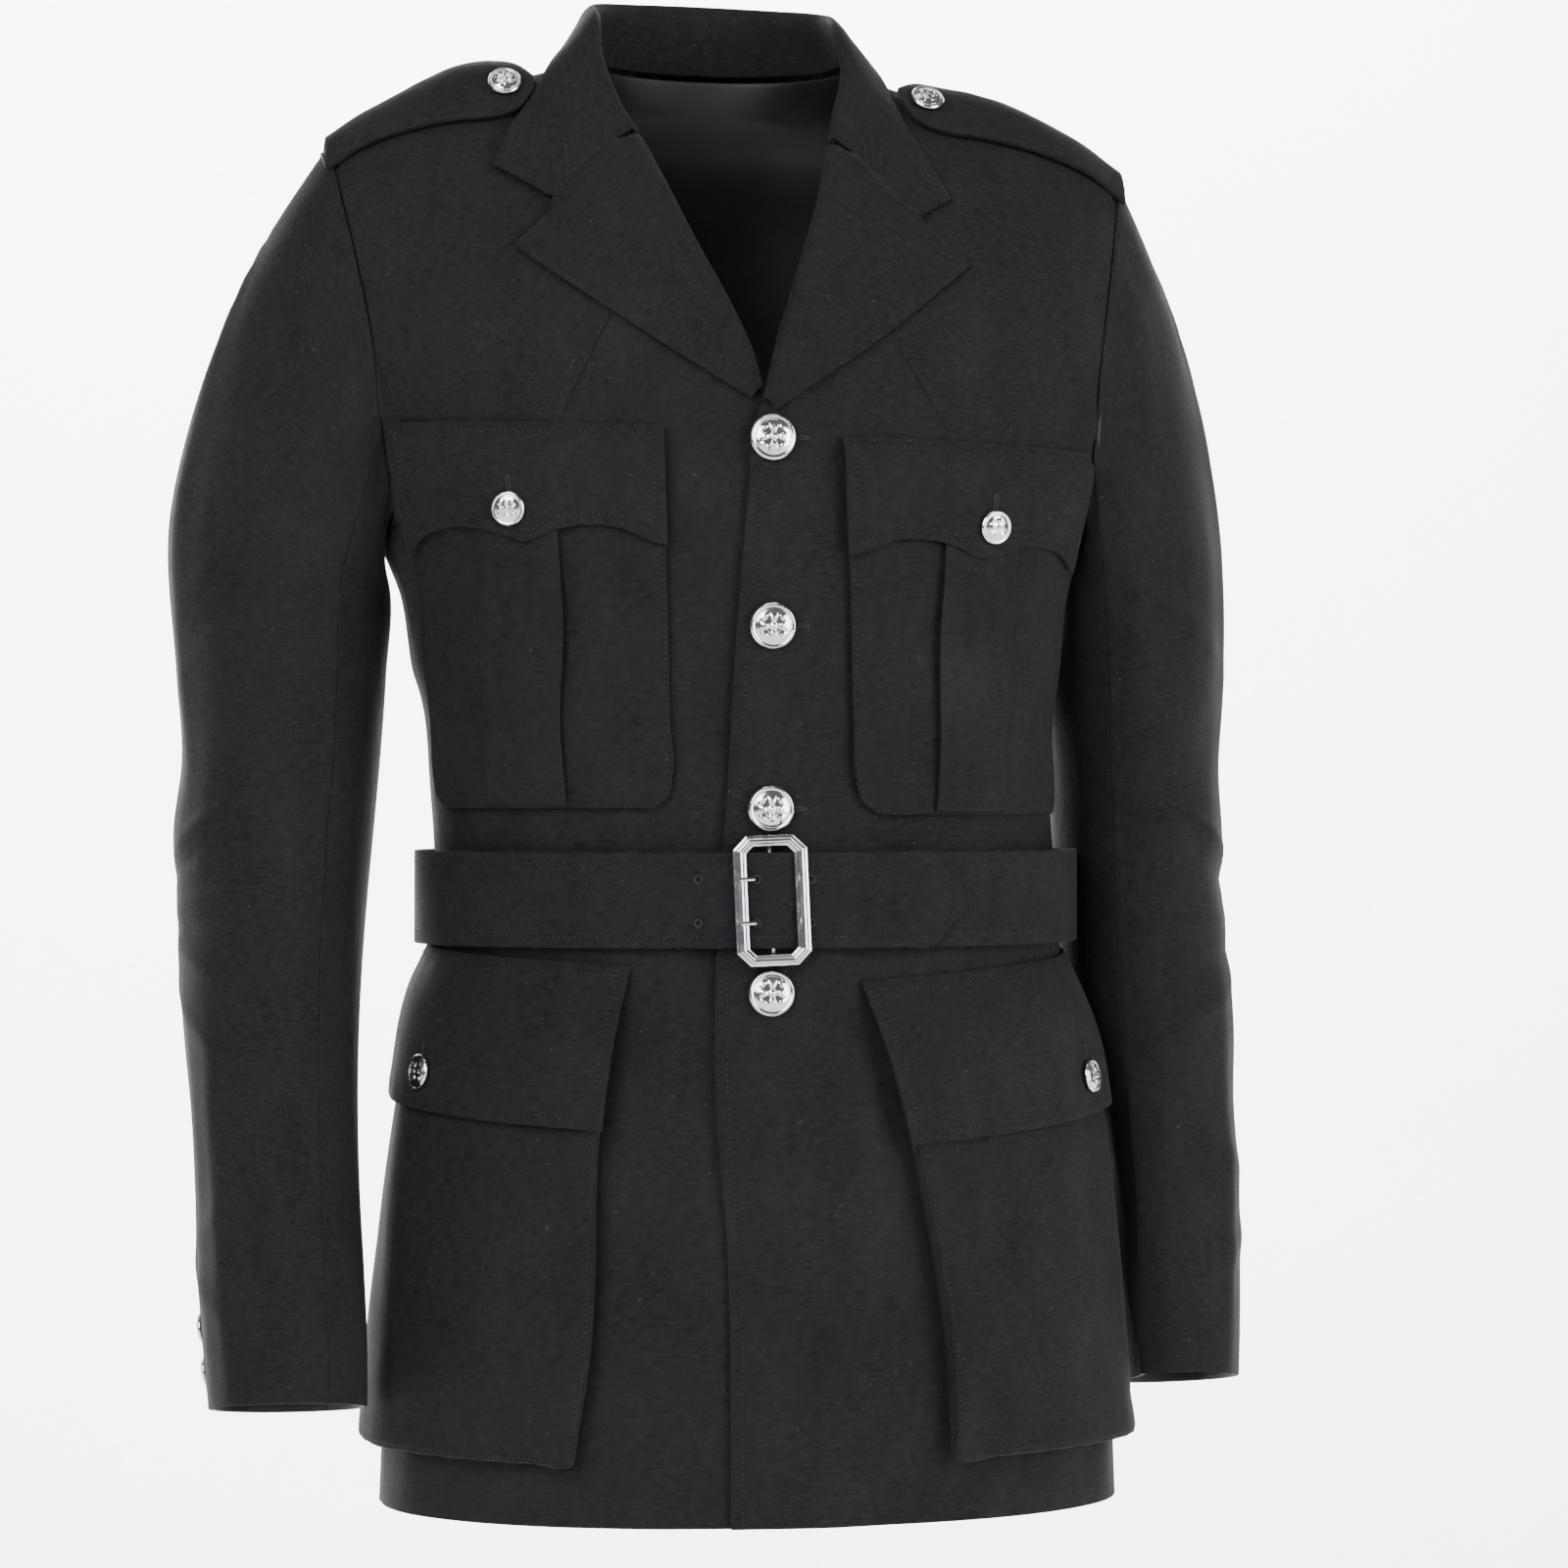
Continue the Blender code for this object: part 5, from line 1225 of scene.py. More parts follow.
class Nodes:
    """Short calls for building a material's nodes."""

    def __init__(self, name):
        self.material = bpy.data.materials.new(name)
        self.material.use_nodes = True
        self.tree = self.material.node_tree
        self.shader = self.tree.nodes["Principled BSDF"]
        self.coords = self.tree.nodes.new("ShaderNodeTexCoord")

    def new(self, kind, links=(), **values):
        node = self.tree.nodes.new(kind)
        for key, value in values.items():
            setattr(node, key, value)
        for socket, value in links:
            if isinstance(value, bpy.types.NodeSocket):
                self.tree.links.new(value, node.inputs[socket])
            else:
                node.inputs[socket].default_value = value
        return node

    def shrink(self, space, scale, turn=0.0):
        return self.new("ShaderNodeMapping", [("Vector", self.coords.outputs[space]),
                                              ("Scale", scale), ("Rotation", (0, 0, radians(turn)))]
                        ).outputs["Vector"]

    def noise(self, vector, scale, detail=2.0, roughness=0.5):
        return self.new("ShaderNodeTexNoise", [("Vector", vector), ("Scale", scale),
                                               ("Detail", detail), ("Roughness", roughness)]
                        ).outputs["Fac"]

    def spread(self, value, low, high, to_low=0.0, to_high=1.0):
        return self.new("ShaderNodeMapRange", [("Value", value), ("From Min", low), ("From Max", high),
                                               ("To Min", to_low), ("To Max", to_high)]
                        ).outputs["Result"]

    def mix(self, share, a, b):
        node = self.new("ShaderNodeMix", data_type="RGBA")
        for socket, value in ((node.inputs[0], share), (node.inputs[6], a), (node.inputs[7], b)):
            if isinstance(value, bpy.types.NodeSocket):
                self.tree.links.new(value, socket)
            else:
                socket.default_value = value
        return node.outputs[2]

    def maths(self, operation, a, b=0.0):
        return self.new("ShaderNodeMath", [(0, a), (1, b)], operation=operation).outputs[0]

    def set(self, **values):
        for key, value in values.items():
            socket = self.shader.inputs[key.replace("_", " ")]
            if isinstance(value, bpy.types.NodeSocket):
                self.tree.links.new(value, socket)
            else:
                socket.default_value = value

    def bump(self, height, distance, strength=1.0, under=None):
        links = [("Height", height), ("Distance", distance), ("Strength", strength)]
        if under is not None:
            links.append(("Normal", under))
        return self.new("ShaderNodeBump", links).outputs["Normal"]


def wool(name, dark, light, sheen):
    """Wool barathea: a broken twill rib of fine yarn, with a soft nap and a little lint."""
    n = Nodes(name)
    rib = n.new("ShaderNodeTexWave", [("Vector", n.shrink("UV", (1, 1, 1), 38)), ("Scale", 330.0),
                                      ("Distortion", 3.0), ("Detail", 2.0), ("Detail Scale", 3.0)],
                wave_type="BANDS").outputs["Fac"]
    yarn = n.noise(n.shrink("UV", (1.0, 0.45, 1.0)), 1500.0, 1.0)
    nap = n.noise(n.coords.outputs["Object"], 260.0, 3.0, 0.6)
    cloud = n.noise(n.coords.outputs["Object"], 14.0, 3.0, 0.55)
    worn = n.noise(n.shrink("Object", (1.0, 1.0, 0.35)), 46.0, 2.0)
    tone = n.maths("ADD", n.spread(nap, 0.35, 0.65, 0.0, 0.4), n.spread(cloud, 0.3, 0.7, 0.0, 0.35))
    slub = n.noise(n.shrink("UV", (0.25, 1.0, 1.0)), 620.0, 2.0, 0.6)
    tone = n.maths("ADD", tone, n.spread(yarn, 0.3, 0.7, 0.0, 0.3))
    tone = n.maths("ADD", tone, n.spread(slub, 0.35, 0.65, -0.25, 0.35))
    colour = n.mix(tone, srgb(dark), srgb(light))
    fleck = n.noise(n.coords.outputs["Object"], 520.0, 0.0)
    colour = n.mix(n.spread(fleck, 0.845, 0.86, 0.0, 0.35), colour, srgb("#4c4d50"))
    n.set(Base_Color=colour, Roughness=n.spread(worn, 0.3, 0.7, 0.74, 0.9), Sheen_Weight=sheen,
          Sheen_Roughness=0.45, Sheen_Tint=srgb("#c9ccd6"))
    n.shader.inputs["Specular IOR Level"].default_value = 0.14
    ribs = n.bump(rib, 0.12 * MM, 0.55)
    yarns = n.bump(yarn, 0.1 * MM, 0.5, ribs)
    n.set(Normal=n.bump(nap, 0.35 * MM, 0.5, yarns))
    return n.material


def inside_cloth():
    """The cloth's smoother inner side."""
    n = Nodes("inner_side")
    rib = n.new("ShaderNodeTexWave", [("Vector", n.shrink("UV", (1, 1, 1), -45)), ("Scale", 260.0),
                                      ("Distortion", 1.0)], wave_type="BANDS").outputs["Fac"]
    cloud = n.noise(n.coords.outputs["Object"], 22.0, 2.0)
    n.set(Base_Color=n.mix(n.spread(cloud, 0.3, 0.7), srgb("#0f0f12"), srgb("#1a1a1e")),
          Roughness=n.spread(cloud, 0.3, 0.7, 0.5, 0.66), Normal=n.bump(rib, 0.08 * MM, 0.4))
    n.shader.inputs["Specular IOR Level"].default_value = 0.4
    return n.material


def thread(name, dark, light, roughness):
    """Twisted sewing thread; the same recipe in near-black also gives the painted seam shade."""
    n = Nodes(name)
    twist = n.new("ShaderNodeTexWave", [("Vector", n.shrink("Object", (1, 1, 1), 30)),
                                        ("Scale", 500.0)], wave_type="BANDS").outputs["Fac"]
    fluff = n.noise(n.coords.outputs["Object"], 900.0, 1.0)
    n.set(Base_Color=n.mix(fluff, srgb(dark), srgb(light)),
          Roughness=n.spread(fluff, 0.3, 0.7, roughness, roughness + 0.15),
          Normal=n.bump(twist, 0.08 * MM, 0.5))
    n.shader.inputs["Specular IOR Level"].default_value = 0.2
    return n.material


def chrome(name, colour, smudge):
    """Bright plated metal with a soft film of handling on it."""
    n = Nodes(name)
    film = n.noise(n.coords.outputs["Object"], 190.0, 3.0, 0.6)
    cloud = n.noise(n.coords.outputs["Object"], 60.0, 2.0)
    scratch = n.noise(n.shrink("Object", (1.0, 1.0, 9.0), 20), 900.0, 1.0)
    n.set(Base_Color=n.mix(n.spread(cloud, 0.3, 0.7, 0.0, 0.6), srgb(colour), srgb("#c3c5ca")),
          Metallic=1.0, Roughness=n.spread(film, 0.3, 0.7, 0.07, smudge),
          Normal=n.bump(scratch, 0.02 * MM, 0.25, n.bump(cloud, 0.05 * MM, 0.3)))
    return n.material


WOOL = wool("black_wool_barathea", "#0c0c0e", "#1c1c1e", 0.06)
INSIDE = inside_cloth()
THREAD = thread("black_thread", "#131315", "#36363a", 0.5)
# painted shade: a near-black material laid over stitch furrows, darts, buttonhole slits and eyelet holes
PAINTED_SHADE = thread("seam_shadow", "#08080a", "#101013", 0.85)
SILK = thread("buttonhole_twist", "#161618", "#2f2f33", 0.42)
CHROME = chrome("chrome", "#eceef0", 0.2)
BRIGHT = chrome("button_chrome", "#f0f1f3", 0.16)


# Reading a finished sheet: a place on it by its row and column, and lines beside its edges.

def spot(name, i, j):
    """Position and normal at a place counted in grid points."""
    piece = PIECES[name]
    grid, normal = piece["grid"], piece["normal"]
    a, b = min(int(i), grid.shape[0] - 2), min(int(j), grid.shape[1] - 2)
    s, t = i - a, j - b
    both = []
    for field in (grid, normal):
        low = field[a, b] * (1 - s) + field[a + 1, b] * s
        high = field[a, b + 1] * (1 - s) + field[a + 1, b + 1] * s
        both.append(Vector(low * (1 - t) + high * t))
    return both[0], both[1].normalized()


def edge_line(name, edge, inset, start=None, end=None):
    """Places along a line beside an edge: u0 or u1 for the sides, v0 or v1 for the ends."""
    piece = PIECES[name]
    nu, nv = piece["grid"].shape[:2]
    places = []
    start = inset if start is None else start
    end = inset if end is None else end
    if edge[0] == "v":
        for i in range(nu):
            run = piece["v"][i]
            depth = inset if edge == "v0" else run[-1] - inset
            j = float(np.interp(depth, run, np.arange(nv)))
            places.append((float(i), j))
    else:
        for j in range(nv):
            run = piece["u"][:, j]
            depth = inset if edge == "u0" else run[-1] - inset
            i = float(np.interp(depth, run, np.arange(nu)))
            places.append((i, float(j)))
    spots = [spot(name, i, j)[0] for i, j in places]
    lengths = [0.0]
    for a, b in zip(spots, spots[1:]):
        lengths.append(lengths[-1] + (b - a).length)
    total = lengths[-1]
    cut = []
    for goal in np.linspace(start, total - end, max(2, len(places))):
        k = float(np.interp(goal, lengths, np.arange(len(places))))
        low = min(int(k), len(places) - 2)
        share = k - low
        cut.append(tuple(places[low][c] * (1 - share) + places[low + 1][c] * share for c in (0, 1)))
    return cut


def resample(points, pitch):
    """Points and normals at even steps along a line of (position, normal)."""
    gone = [0.0]
    for a, b in zip(points, points[1:]):
        gone.append(gone[-1] + (b[0] - a[0]).length)
    count = max(1, int(gone[-1] / pitch))
    out, k = [], 0
    for step in range(count):
        goal = (step + 0.5) * gone[-1] / count
        while k < len(gone) - 2 and gone[k + 1] < goal:
            k += 1
        t = (goal - gone[k]) / max(gone[k + 1] - gone[k], 1e-9)
        a, b = points[k], points[k + 1]
        out.append((a[0].lerp(b[0], t), a[1].lerp(b[1], t).normalized(), (b[0] - a[0]).normalized()))
    return out


STITCH_PITCH = 2.9 * MM
STITCH_LENGTH = 2.2 * MM
STITCH_WIDTH = 0.62 * MM
STITCH_RISE = 0.1 * MM
FURROW_WIDTH = 1.1 * MM
FURROW_LIFT = 0.05 * MM


def frame_on(position, normal, tangent):
    side = normal.cross(tangent).normalized()
    return Matrix.Translation(position) @ Matrix((tangent, side, normal)).transposed().to_4x4()


def finish_mesh(name, bm, material, host):
    mesh = bpy.data.meshes.new(name)
    bm.to_mesh(mesh)
    bm.free()
    mesh.materials.append(material)
    thing = bpy.data.objects.new(name, mesh)
    bpy.context.scene.collection.objects.link(thing)
    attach(thing, "root")
    if host in PIECES:
        PIECES[host]["with"].append(thing)
    return thing


def ribbon(bm, line, width, lift):
    """A thin raised band along a line, for a pressed seam or the furrow under stitches; its callers give
    it painted shade.
    """
    rows = []
    for k, (position, normal) in enumerate(line):
        ahead = line[min(k + 1, len(line) - 1)][0] - line[max(k - 1, 0)][0]
        side = normal.cross(ahead.normalized()).normalized() * width / 2
        rows.append([bm.verts.new(position + side * share + normal * lift * rise)
                     for share, rise in ((1, -3), (0.6, 1), (-0.6, 1), (-1, -3))])
    for a, b in zip(rows, rows[1:]):
        for k in range(3):
            bm.faces.new((a[k], b[k], b[k + 1], a[k + 1]))


def sew(name, host, lines, pitch=STITCH_PITCH, length=STITCH_LENGTH, material=None, furrow=True):
    """Rows of stitches on a sheet, each row a list of places on it."""
    bm, under = bmesh.new(), bmesh.new()
    for places in lines:
        line = [spot(host, i, j) for i, j in places]
        if furrow:
            ribbon(under, line, FURROW_WIDTH, FURROW_LIFT)
        for position, normal, tangent in resample(line, pitch):
            matrix = frame_on(position + normal * STITCH_RISE, normal, tangent)
            matrix = matrix @ Matrix.Diagonal((length / 2, STITCH_WIDTH / 2, STITCH_WIDTH / 2, 1))
            bmesh.ops.create_icosphere(bm, subdivisions=1, radius=1.0, matrix=matrix)
    for face in bm.faces:
        face.smooth = True
    finish_mesh(f"stitches_{name}", bm, material or THREAD, host)
    if furrow:
        # the furrow band is painted shade along the stitched line
        finish_mesh(f"furrow_{name}", under, PAINTED_SHADE, host)
    else:
        under.free()


def snap(name, point):
    """The nearest place on a sheet's outer face, with its normal."""
    piece = PIECES[name]
    away = np.linalg.norm(piece["grid"] - np.array(point), axis=2)
    i, j = np.unravel_index(int(np.argmin(away)), away.shape)
    normal = Vector(piece["normal"][i, j])
    base = Vector(piece["grid"][i, j])
    point = Vector(point)
    return point - normal * (point - base).dot(normal), normal


# Buttonholes: two bars of close stitches round a slit, with a bar tack at the far end.

HOLE_HALF_GAP = 0.75 * MM
HOLE_STITCH = 0.75 * MM


def buttonhole(name, host, centre, direction, length):
    bm, slit = bmesh.new(), bmesh.new()
    centre, normal = snap(host, centre)
    direction = (direction - normal * direction.dot(normal)).normalized()
    side = normal.cross(direction)
    path = [(t, HOLE_HALF_GAP) for t in np.arange(0.0, length, HOLE_STITCH)]
    turn = [(length + HOLE_HALF_GAP * 1.3 * sin(a), HOLE_HALF_GAP * cos(a))
            for a in (radians(30), radians(65), radians(90), radians(115), radians(150))]
    path += turn + [(t, -across) for t, across in reversed(path)]
    for ahead, across in path:
        point, up = snap(host, centre + direction * ahead + side * across)
        out = (side * across + direction * max(0.0, ahead - length)).normalized()
        matrix = frame_on(point + up * 0.15 * MM, up, out)
        matrix = matrix @ Matrix.Diagonal((1.15 * MM, 0.42 * MM, 0.42 * MM, 1))
        bmesh.ops.create_icosphere(bm, subdivisions=1, radius=1.0, matrix=matrix)
    for face in bm.faces:
        face.smooth = True
    # the slit is a band of painted shade
    line = [snap(host, centre + direction * t) for t in np.linspace(0.0, length, 8)]
    ribbon(slit, line, 0.8 * MM, 0.12 * MM)
    finish_mesh(f"buttonhole_{name}", bm, SILK, host)
    finish_mesh(f"slit_{name}", slit, PAINTED_SHADE, host)


def eyelet(name, host, centre, radius):
    """A hand-worked eyelet: a ring of close stitches round a small hole, drawn as a disc of painted
    shade.
    """
    bm, hole = bmesh.new(), bmesh.new()
    centre, normal = snap(host, centre)
    along_x = Vector((0, 0, 1)).cross(normal).normalized()
    along_z = normal.cross(along_x)
    for k in range(20):
        turn = 2 * pi * k / 20
        out = along_x * cos(turn) + along_z * sin(turn)
        matrix = frame_on(centre + out * radius + normal * 0.12 * MM, normal, out)
        matrix = matrix @ Matrix.Diagonal((0.85 * MM, 0.42 * MM, 0.42 * MM, 1))
        bmesh.ops.create_icosphere(bm, subdivisions=1, radius=1.0, matrix=matrix)
    for face in bm.faces:
        face.smooth = True
    # the hole is a flat disc of painted shade
    matrix = frame_on(centre + normal * 0.06 * MM, normal, along_x)
    bmesh.ops.create_circle(hole, cap_ends=True, segments=20, radius=radius * 0.85, matrix=matrix)
    finish_mesh(f"eyelet_{name}", bm, SILK, host)
    finish_mesh(f"eyelet_hole_{name}", hole, PAINTED_SHADE, host)


# Buttons: a domed face with a roped rim and a generic rosette of eight petals.

BUTTON_RINGS = [0.0, 0.06, 0.12, 0.18, 0.24, 0.30, 0.36, 0.42, 0.48, 0.54, 0.60, 0.66, 0.71, 0.75,
                0.79, 0.83, 0.87, 0.91, 0.95, 0.98, 1.0]
BUTTON_SEGMENTS = 96
ROPE_TURNS = 40


def button_height(share, turn):
    """Height of the button's face as a share of its radius."""
    height = 0.13 + 0.24 * max(0.0, 1 - (share / 1.04) ** 2) ** 0.6
    height += 0.050 * exp(-((share - 0.91) / 0.045) ** 2) * (1 + 0.4 * sin(ROPE_TURNS * turn))
    height -= 0.040 * exp(-((share - 0.79) / 0.04) ** 2)
    height += 0.085 * exp(-(share / 0.11) ** 2)
    height -= 0.020 * exp(-((share - 0.17) / 0.03) ** 2)
    petal = max(0.0, cos(4 * turn)) ** 0.6
    height += 0.085 * petal * exp(-((share - 0.38) / 0.13) ** 2)
    height -= 0.016 * exp(-(sin(4 * turn) / 0.12) ** 2) * exp(-((share - 0.38) / 0.10) ** 2) * petal
    leaf = max(0.0, -cos(4 * turn)) ** 1.5
    height += 0.065 * leaf * exp(-((share - 0.56) / 0.08) ** 2)
    return height


def add_button(name, radius, frame):
    place = Matrix.Translation(lean(frame.translation) - frame.translation) @ frame
    rows = [(share, None) for share in BUTTON_RINGS] + [(1.01, 0.08), (0.97, 0.02), (0.9, 0.0),
                                                        (0.0, 0.0)]
    bm = bmesh.new()
    bmesh.ops.create_grid(bm, x_segments=BUTTON_SEGMENTS, y_segments=len(rows) - 1, size=0.5)
    for vert in bm.verts:
        turn = 2 * pi * round((vert.co.x + 0.5) * BUTTON_SEGMENTS) / BUTTON_SEGMENTS
        share, height = rows[round((vert.co.y + 0.5) * (len(rows) - 1))]
        height = button_height(share, turn) if height is None else height
        vert.co = place @ Vector((share * radius * cos(turn), share * radius * sin(turn),
                                  height * radius))
    bmesh.ops.remove_doubles(bm, verts=bm.verts, dist=0.002 * MM)
    bmesh.ops.recalc_face_normals(bm, faces=bm.faces)
    for face in bm.faces:
        face.smooth = True
    thing = finish_mesh(f"face_{name}", bm, BRIGHT, None)
    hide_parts(name)
    return thing


def add_buttons():
    for i, level in enumerate(FRONT_BUTTON_LEVELS):
        s = s_of_x(mm(level), FRONT_BUTTON_X)
        place = seat(s, mm(level), OVERLAP_LIFT + BUTTON_GAP)
        add_button(f"front_button_{i + 1}", BUTTON_RADIUS, place)
        if i < 3:
            centre = lean(place.translation)
            buttonhole(f"front_{i + 1}", "front_left", centre, Vector((1, 0, 0)), 17.5 * MM)
    for side, word in ((RIGHT, "right"), (LEFT, "left")):
        level = mm(BREAST[side][0]) - BREAST_BUTTON_DROP
        place = seat(side * BREAST_BUTTON_S, level, BREAST_FLAP_LIFT + BUTTON_GAP)
        add_button(f"breast_button_{word}", SMALL_BUTTON_RADIUS, place)
        buttonhole(f"breast_{word}", f"breast_flap_{word}", lean(place.translation),
                   Vector((0, 0, 1)), 16.0 * MM)
        hip_s, hip_z = HIP_BUTTONS[side]
        place = seat(mm(hip_s), mm(hip_z), HIP_BUTTON_LIFT)
        add_button(f"hip_button_{word}", SMALL_BUTTON_RADIUS, place)
        buttonhole(f"hip_{word}", f"hip_flap_{word}", lean(place.translation), Vector((0, 0, 1)),
                   17.0 * MM)
        centre = EPAULETTE_WIDTH / 2
        x = EPAULETTE_END_X[side] + EPAULETTE_BUTTON_INSET
        base = epaulette_point(side, x, centre)
        ahead = epaulette_point(side, x + side * FRAME_STEP, centre)
        below = epaulette_point(side, x, centre - FRAME_STEP)
        add_button(f"epaulette_button_{word}", SMALL_BUTTON_RADIUS, flat_frame(base, ahead, below))
        for number, level in enumerate(CUFF_BUTTON_LEVELS):
            base = sleeve_ring(side, CUFF_BUTTON_ANGLE, mm(level))
            ahead = sleeve_ring(side, CUFF_BUTTON_ANGLE - side * FRAME_ANGLE, mm(level))
            above = sleeve_ring(side, CUFF_BUTTON_ANGLE, mm(level) + FRAME_STEP)
            add_button(f"cuff_button_{word}_{number + 1}", SMALL_BUTTON_RADIUS,
                       flat_frame(base, ahead, above))


def add_belt():
    run = belt_run()

    def place(u, v):
        s, lift, half = run[round(u * (len(run) - 1))]
        rise = Vector((0, 0, half * (2 * v - 1)))
        return bare_body(s, BELT_Z) + body_normal(s, BELT_Z) * lift + rise

    add_sheet("belt", len(run) - 1, BELT_ROWS, place, BELT_THICKNESS)


# The buckle: an eight-sided frame with two bevelled edges, and the bar that its prongs turn on.

def octagon(width, height, corner):
    x, y = width / 2, height / 2
    return [(x, y - corner), (x - corner, y), (-x + corner, y), (-x, y - corner),
            (-x, -y + corner), (-x + corner, -y), (x - corner, -y), (x, -y + corner)]


# share of the way from the frame's outer edge to its window, depth below its face
BUCKLE_PROFILE = [(0.0, 3.4), (0.0, 1.7), (0.06, 1.35), (0.16, 1.1), (0.24, 1.1), (0.34, 0.2),
                  (0.44, 0.0), (0.56, 0.0), (0.66, 0.2), (0.78, 1.1), (0.86, 1.1), (0.95, 1.35),
                  (1.0, 1.7), (1.0, 3.4)]
EYELETS_X = [-30.0 * MM, 0.5 * MM, 30.0 * MM]
BAR_HALF_LENGTH = BUCKLE_HEIGHT / 2 - 2.4 * MM
BAR_DRAWN_RADIUS = 1.3 * MM


def add_buckle():
    place = seat(BUCKLE_S, BELT_Z, 0.0, BUCKLE_TILT)
    outer = octagon(BUCKLE_WIDTH, BUCKLE_HEIGHT, BUCKLE_CORNER)
    inner = octagon(WINDOW_WIDTH, WINDOW_HEIGHT, BUCKLE_CORNER * 0.5)
    bm = bmesh.new()
    loops = []
    for share, depth in BUCKLE_PROFILE:
        loop = []
        for a, b in zip(outer, inner):
            x, y = (a[c] + (b[c] - a[c]) * share for c in (0, 1))
            loop.append(bm.verts.new(place @ Vector((x, y, BUCKLE_FRONT - mm(depth)))))
        loops.append(loop)
    for a, b in zip(loops, loops[1:] + loops[:1]):
        for i in range(len(a)):
            j = (i + 1) % len(a)
            bm.faces.new((a[i], a[j], b[j], b[i]))
    bmesh.ops.recalc_face_normals(bm, faces=bm.faces)
    thing = finish_mesh("buckle_frame", bm, CHROME, None)
    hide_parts("buckle")
    edge = thing.modifiers.new("soft edges", "BEVEL")
    edge.width = 0.35 * MM
    edge.segments = 3
    edge.limit_method = "ANGLE"
    edge.angle_limit = radians(22)
    bar = bmesh.new()
    upright = place @ Matrix.Translation((0, 0, BAR_LIFT)) @ Matrix.Rotation(radians(90), 4, "X")
    bmesh.ops.create_cone(bar, cap_ends=True, segments=24, radius1=BAR_DRAWN_RADIUS,
                          radius2=BAR_DRAWN_RADIUS, depth=2 * BAR_HALF_LENGTH, matrix=upright)
    for sign in (-1, 1):
        lug = place @ Matrix.Translation((0, sign * (BAR_HALF_LENGTH - LUG_INSET),
                                          (BAR_LIFT + BUCKLE_BACK) / 2 + 0.4 * MM))
        bmesh.ops.create_cone(bar, cap_ends=True, segments=24, radius1=2.2 * MM, radius2=1.9 * MM,
                              depth=LUG_DEPTH, matrix=lug)
    for face in bar.faces:
        face.smooth = len(face.verts) == 4
    finish_mesh("buckle_bar", bar, CHROME, None)
    for name in ("buckle_prong_upper", "buckle_prong_lower"):
        prong = frame["nodes"][name]
        prong.data.materials.clear()
        prong.data.materials.append(CHROME)


# What is sewn: rows of top stitches 6 mm in from the edges, and pressed seams.

TOP_STITCH = 6.0 * MM


def places_where(name, places, test):
    return [p for p in places if test(spot(name, *p)[0])]


def add_sewing():
    opening = edge_line("front_left", "u0", TOP_STITCH, 1.0 * MM, 0.0)
    opening = places_where("front_left", opening, lambda p: p.z < mm(-186))
    sew("front_opening", "front_left", [opening])
    for word in ("right", "left"):
        name = f"breast_pocket_{word}"
        sew(name, name, [edge_line(name, "u0", 2.0 * MM, 2.0 * MM, 0.0),
                         edge_line(name, "u1", 2.0 * MM, 2.0 * MM, 0.0),
                         edge_line(name, "v0", 2.0 * MM, 2.0 * MM)])
        for name in (f"breast_flap_{word}", f"hip_flap_{word}"):
            sew(name, name, [edge_line(name, "u0", TOP_STITCH, TOP_STITCH, 1.5 * MM),
                             edge_line(name, "u1", TOP_STITCH, TOP_STITCH, 1.5 * MM),
                             edge_line(name, "v0", TOP_STITCH),
                             edge_line(name, "v1", TOP_STITCH, 1.0 * MM)])
        name = f"hip_pocket_{word}"
        sew(name, name, [edge_line(name, "u0", HIP_STITCH, HIP_STITCH, 0.0),
                         edge_line(name, "u1", HIP_STITCH, HIP_STITCH, 0.0),
                         edge_line(name, "v0", HIP_STITCH)])
    rows = [edge_line("belt", edge, TOP_STITCH, 1.0 * MM, 14.0 * MM) for edge in ("v0", "v1")]
    sew("belt", "belt", rows)


HIP_STITCH = 13.0 * MM


def add_gorge(side, word):
    """The seam that joins the collar to the lapel, from the roll down to the notch."""
    lapel = PIECES[f"lapel_{word}"]["grid"][:, -1]
    grid, normal = PIECES["collar"]["grid"], PIECES["collar"]["normal"]
    ends = []
    for edge, inner in ((0, 1), (-1, -2)):
        leaf = slice(int(grid.shape[1] * 0.47), None)
        line = grid[edge, leaf] + (grid[inner, leaf] - grid[edge, leaf]) * 0.3
        line = line + normal[edge, leaf] * 0.25 * MM
        ends.append((float(np.linalg.norm(line[:, None] - lapel, axis=2).min()), line))
    collar = min(ends, key=lambda pair: pair[0])[1]
    far = np.linalg.norm(lapel[:, None] - collar, axis=2)
    near = np.nonzero(far.min(1) < GORGE_REACH)[0]
    first, last = near[0], near[-1]
    from_k, to_k = far[first].argmin(), far[last].argmin()
    count = last - first + 1
    places = np.linspace(from_k, to_k, count)
    upper = np.array([[np.interp(k, range(len(collar)), collar[:, c]) for c in range(3)] for k in places])
    lower = lapel[first:last + 1]
    band = np.stack([lower + (upper - lower) * share for share in np.linspace(0, 1, 4)], axis=1)
    if normals_of(band)[..., 1].mean() > 0:
        band = band[::-1]
    thing = grid_object(f"cloth_gorge_{word}", band, [WOOL], run_lengths(band, 0).mean(1),
                        run_lengths(band, 1).mean(0))
    wall = thing.modifiers.new("cloth wall", "SOLIDIFY")
    wall.thickness = 1.0 * MM
    wall.offset = -1
    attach(thing, "root")
    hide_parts(f"lapel_{word}")
    PIECES[f"lapel_{word}"]["with"].append(thing)


GORGE_REACH = 15.0 * MM
SEAM_STEPS = 72
SEAM_WALL = 1.2 * MM


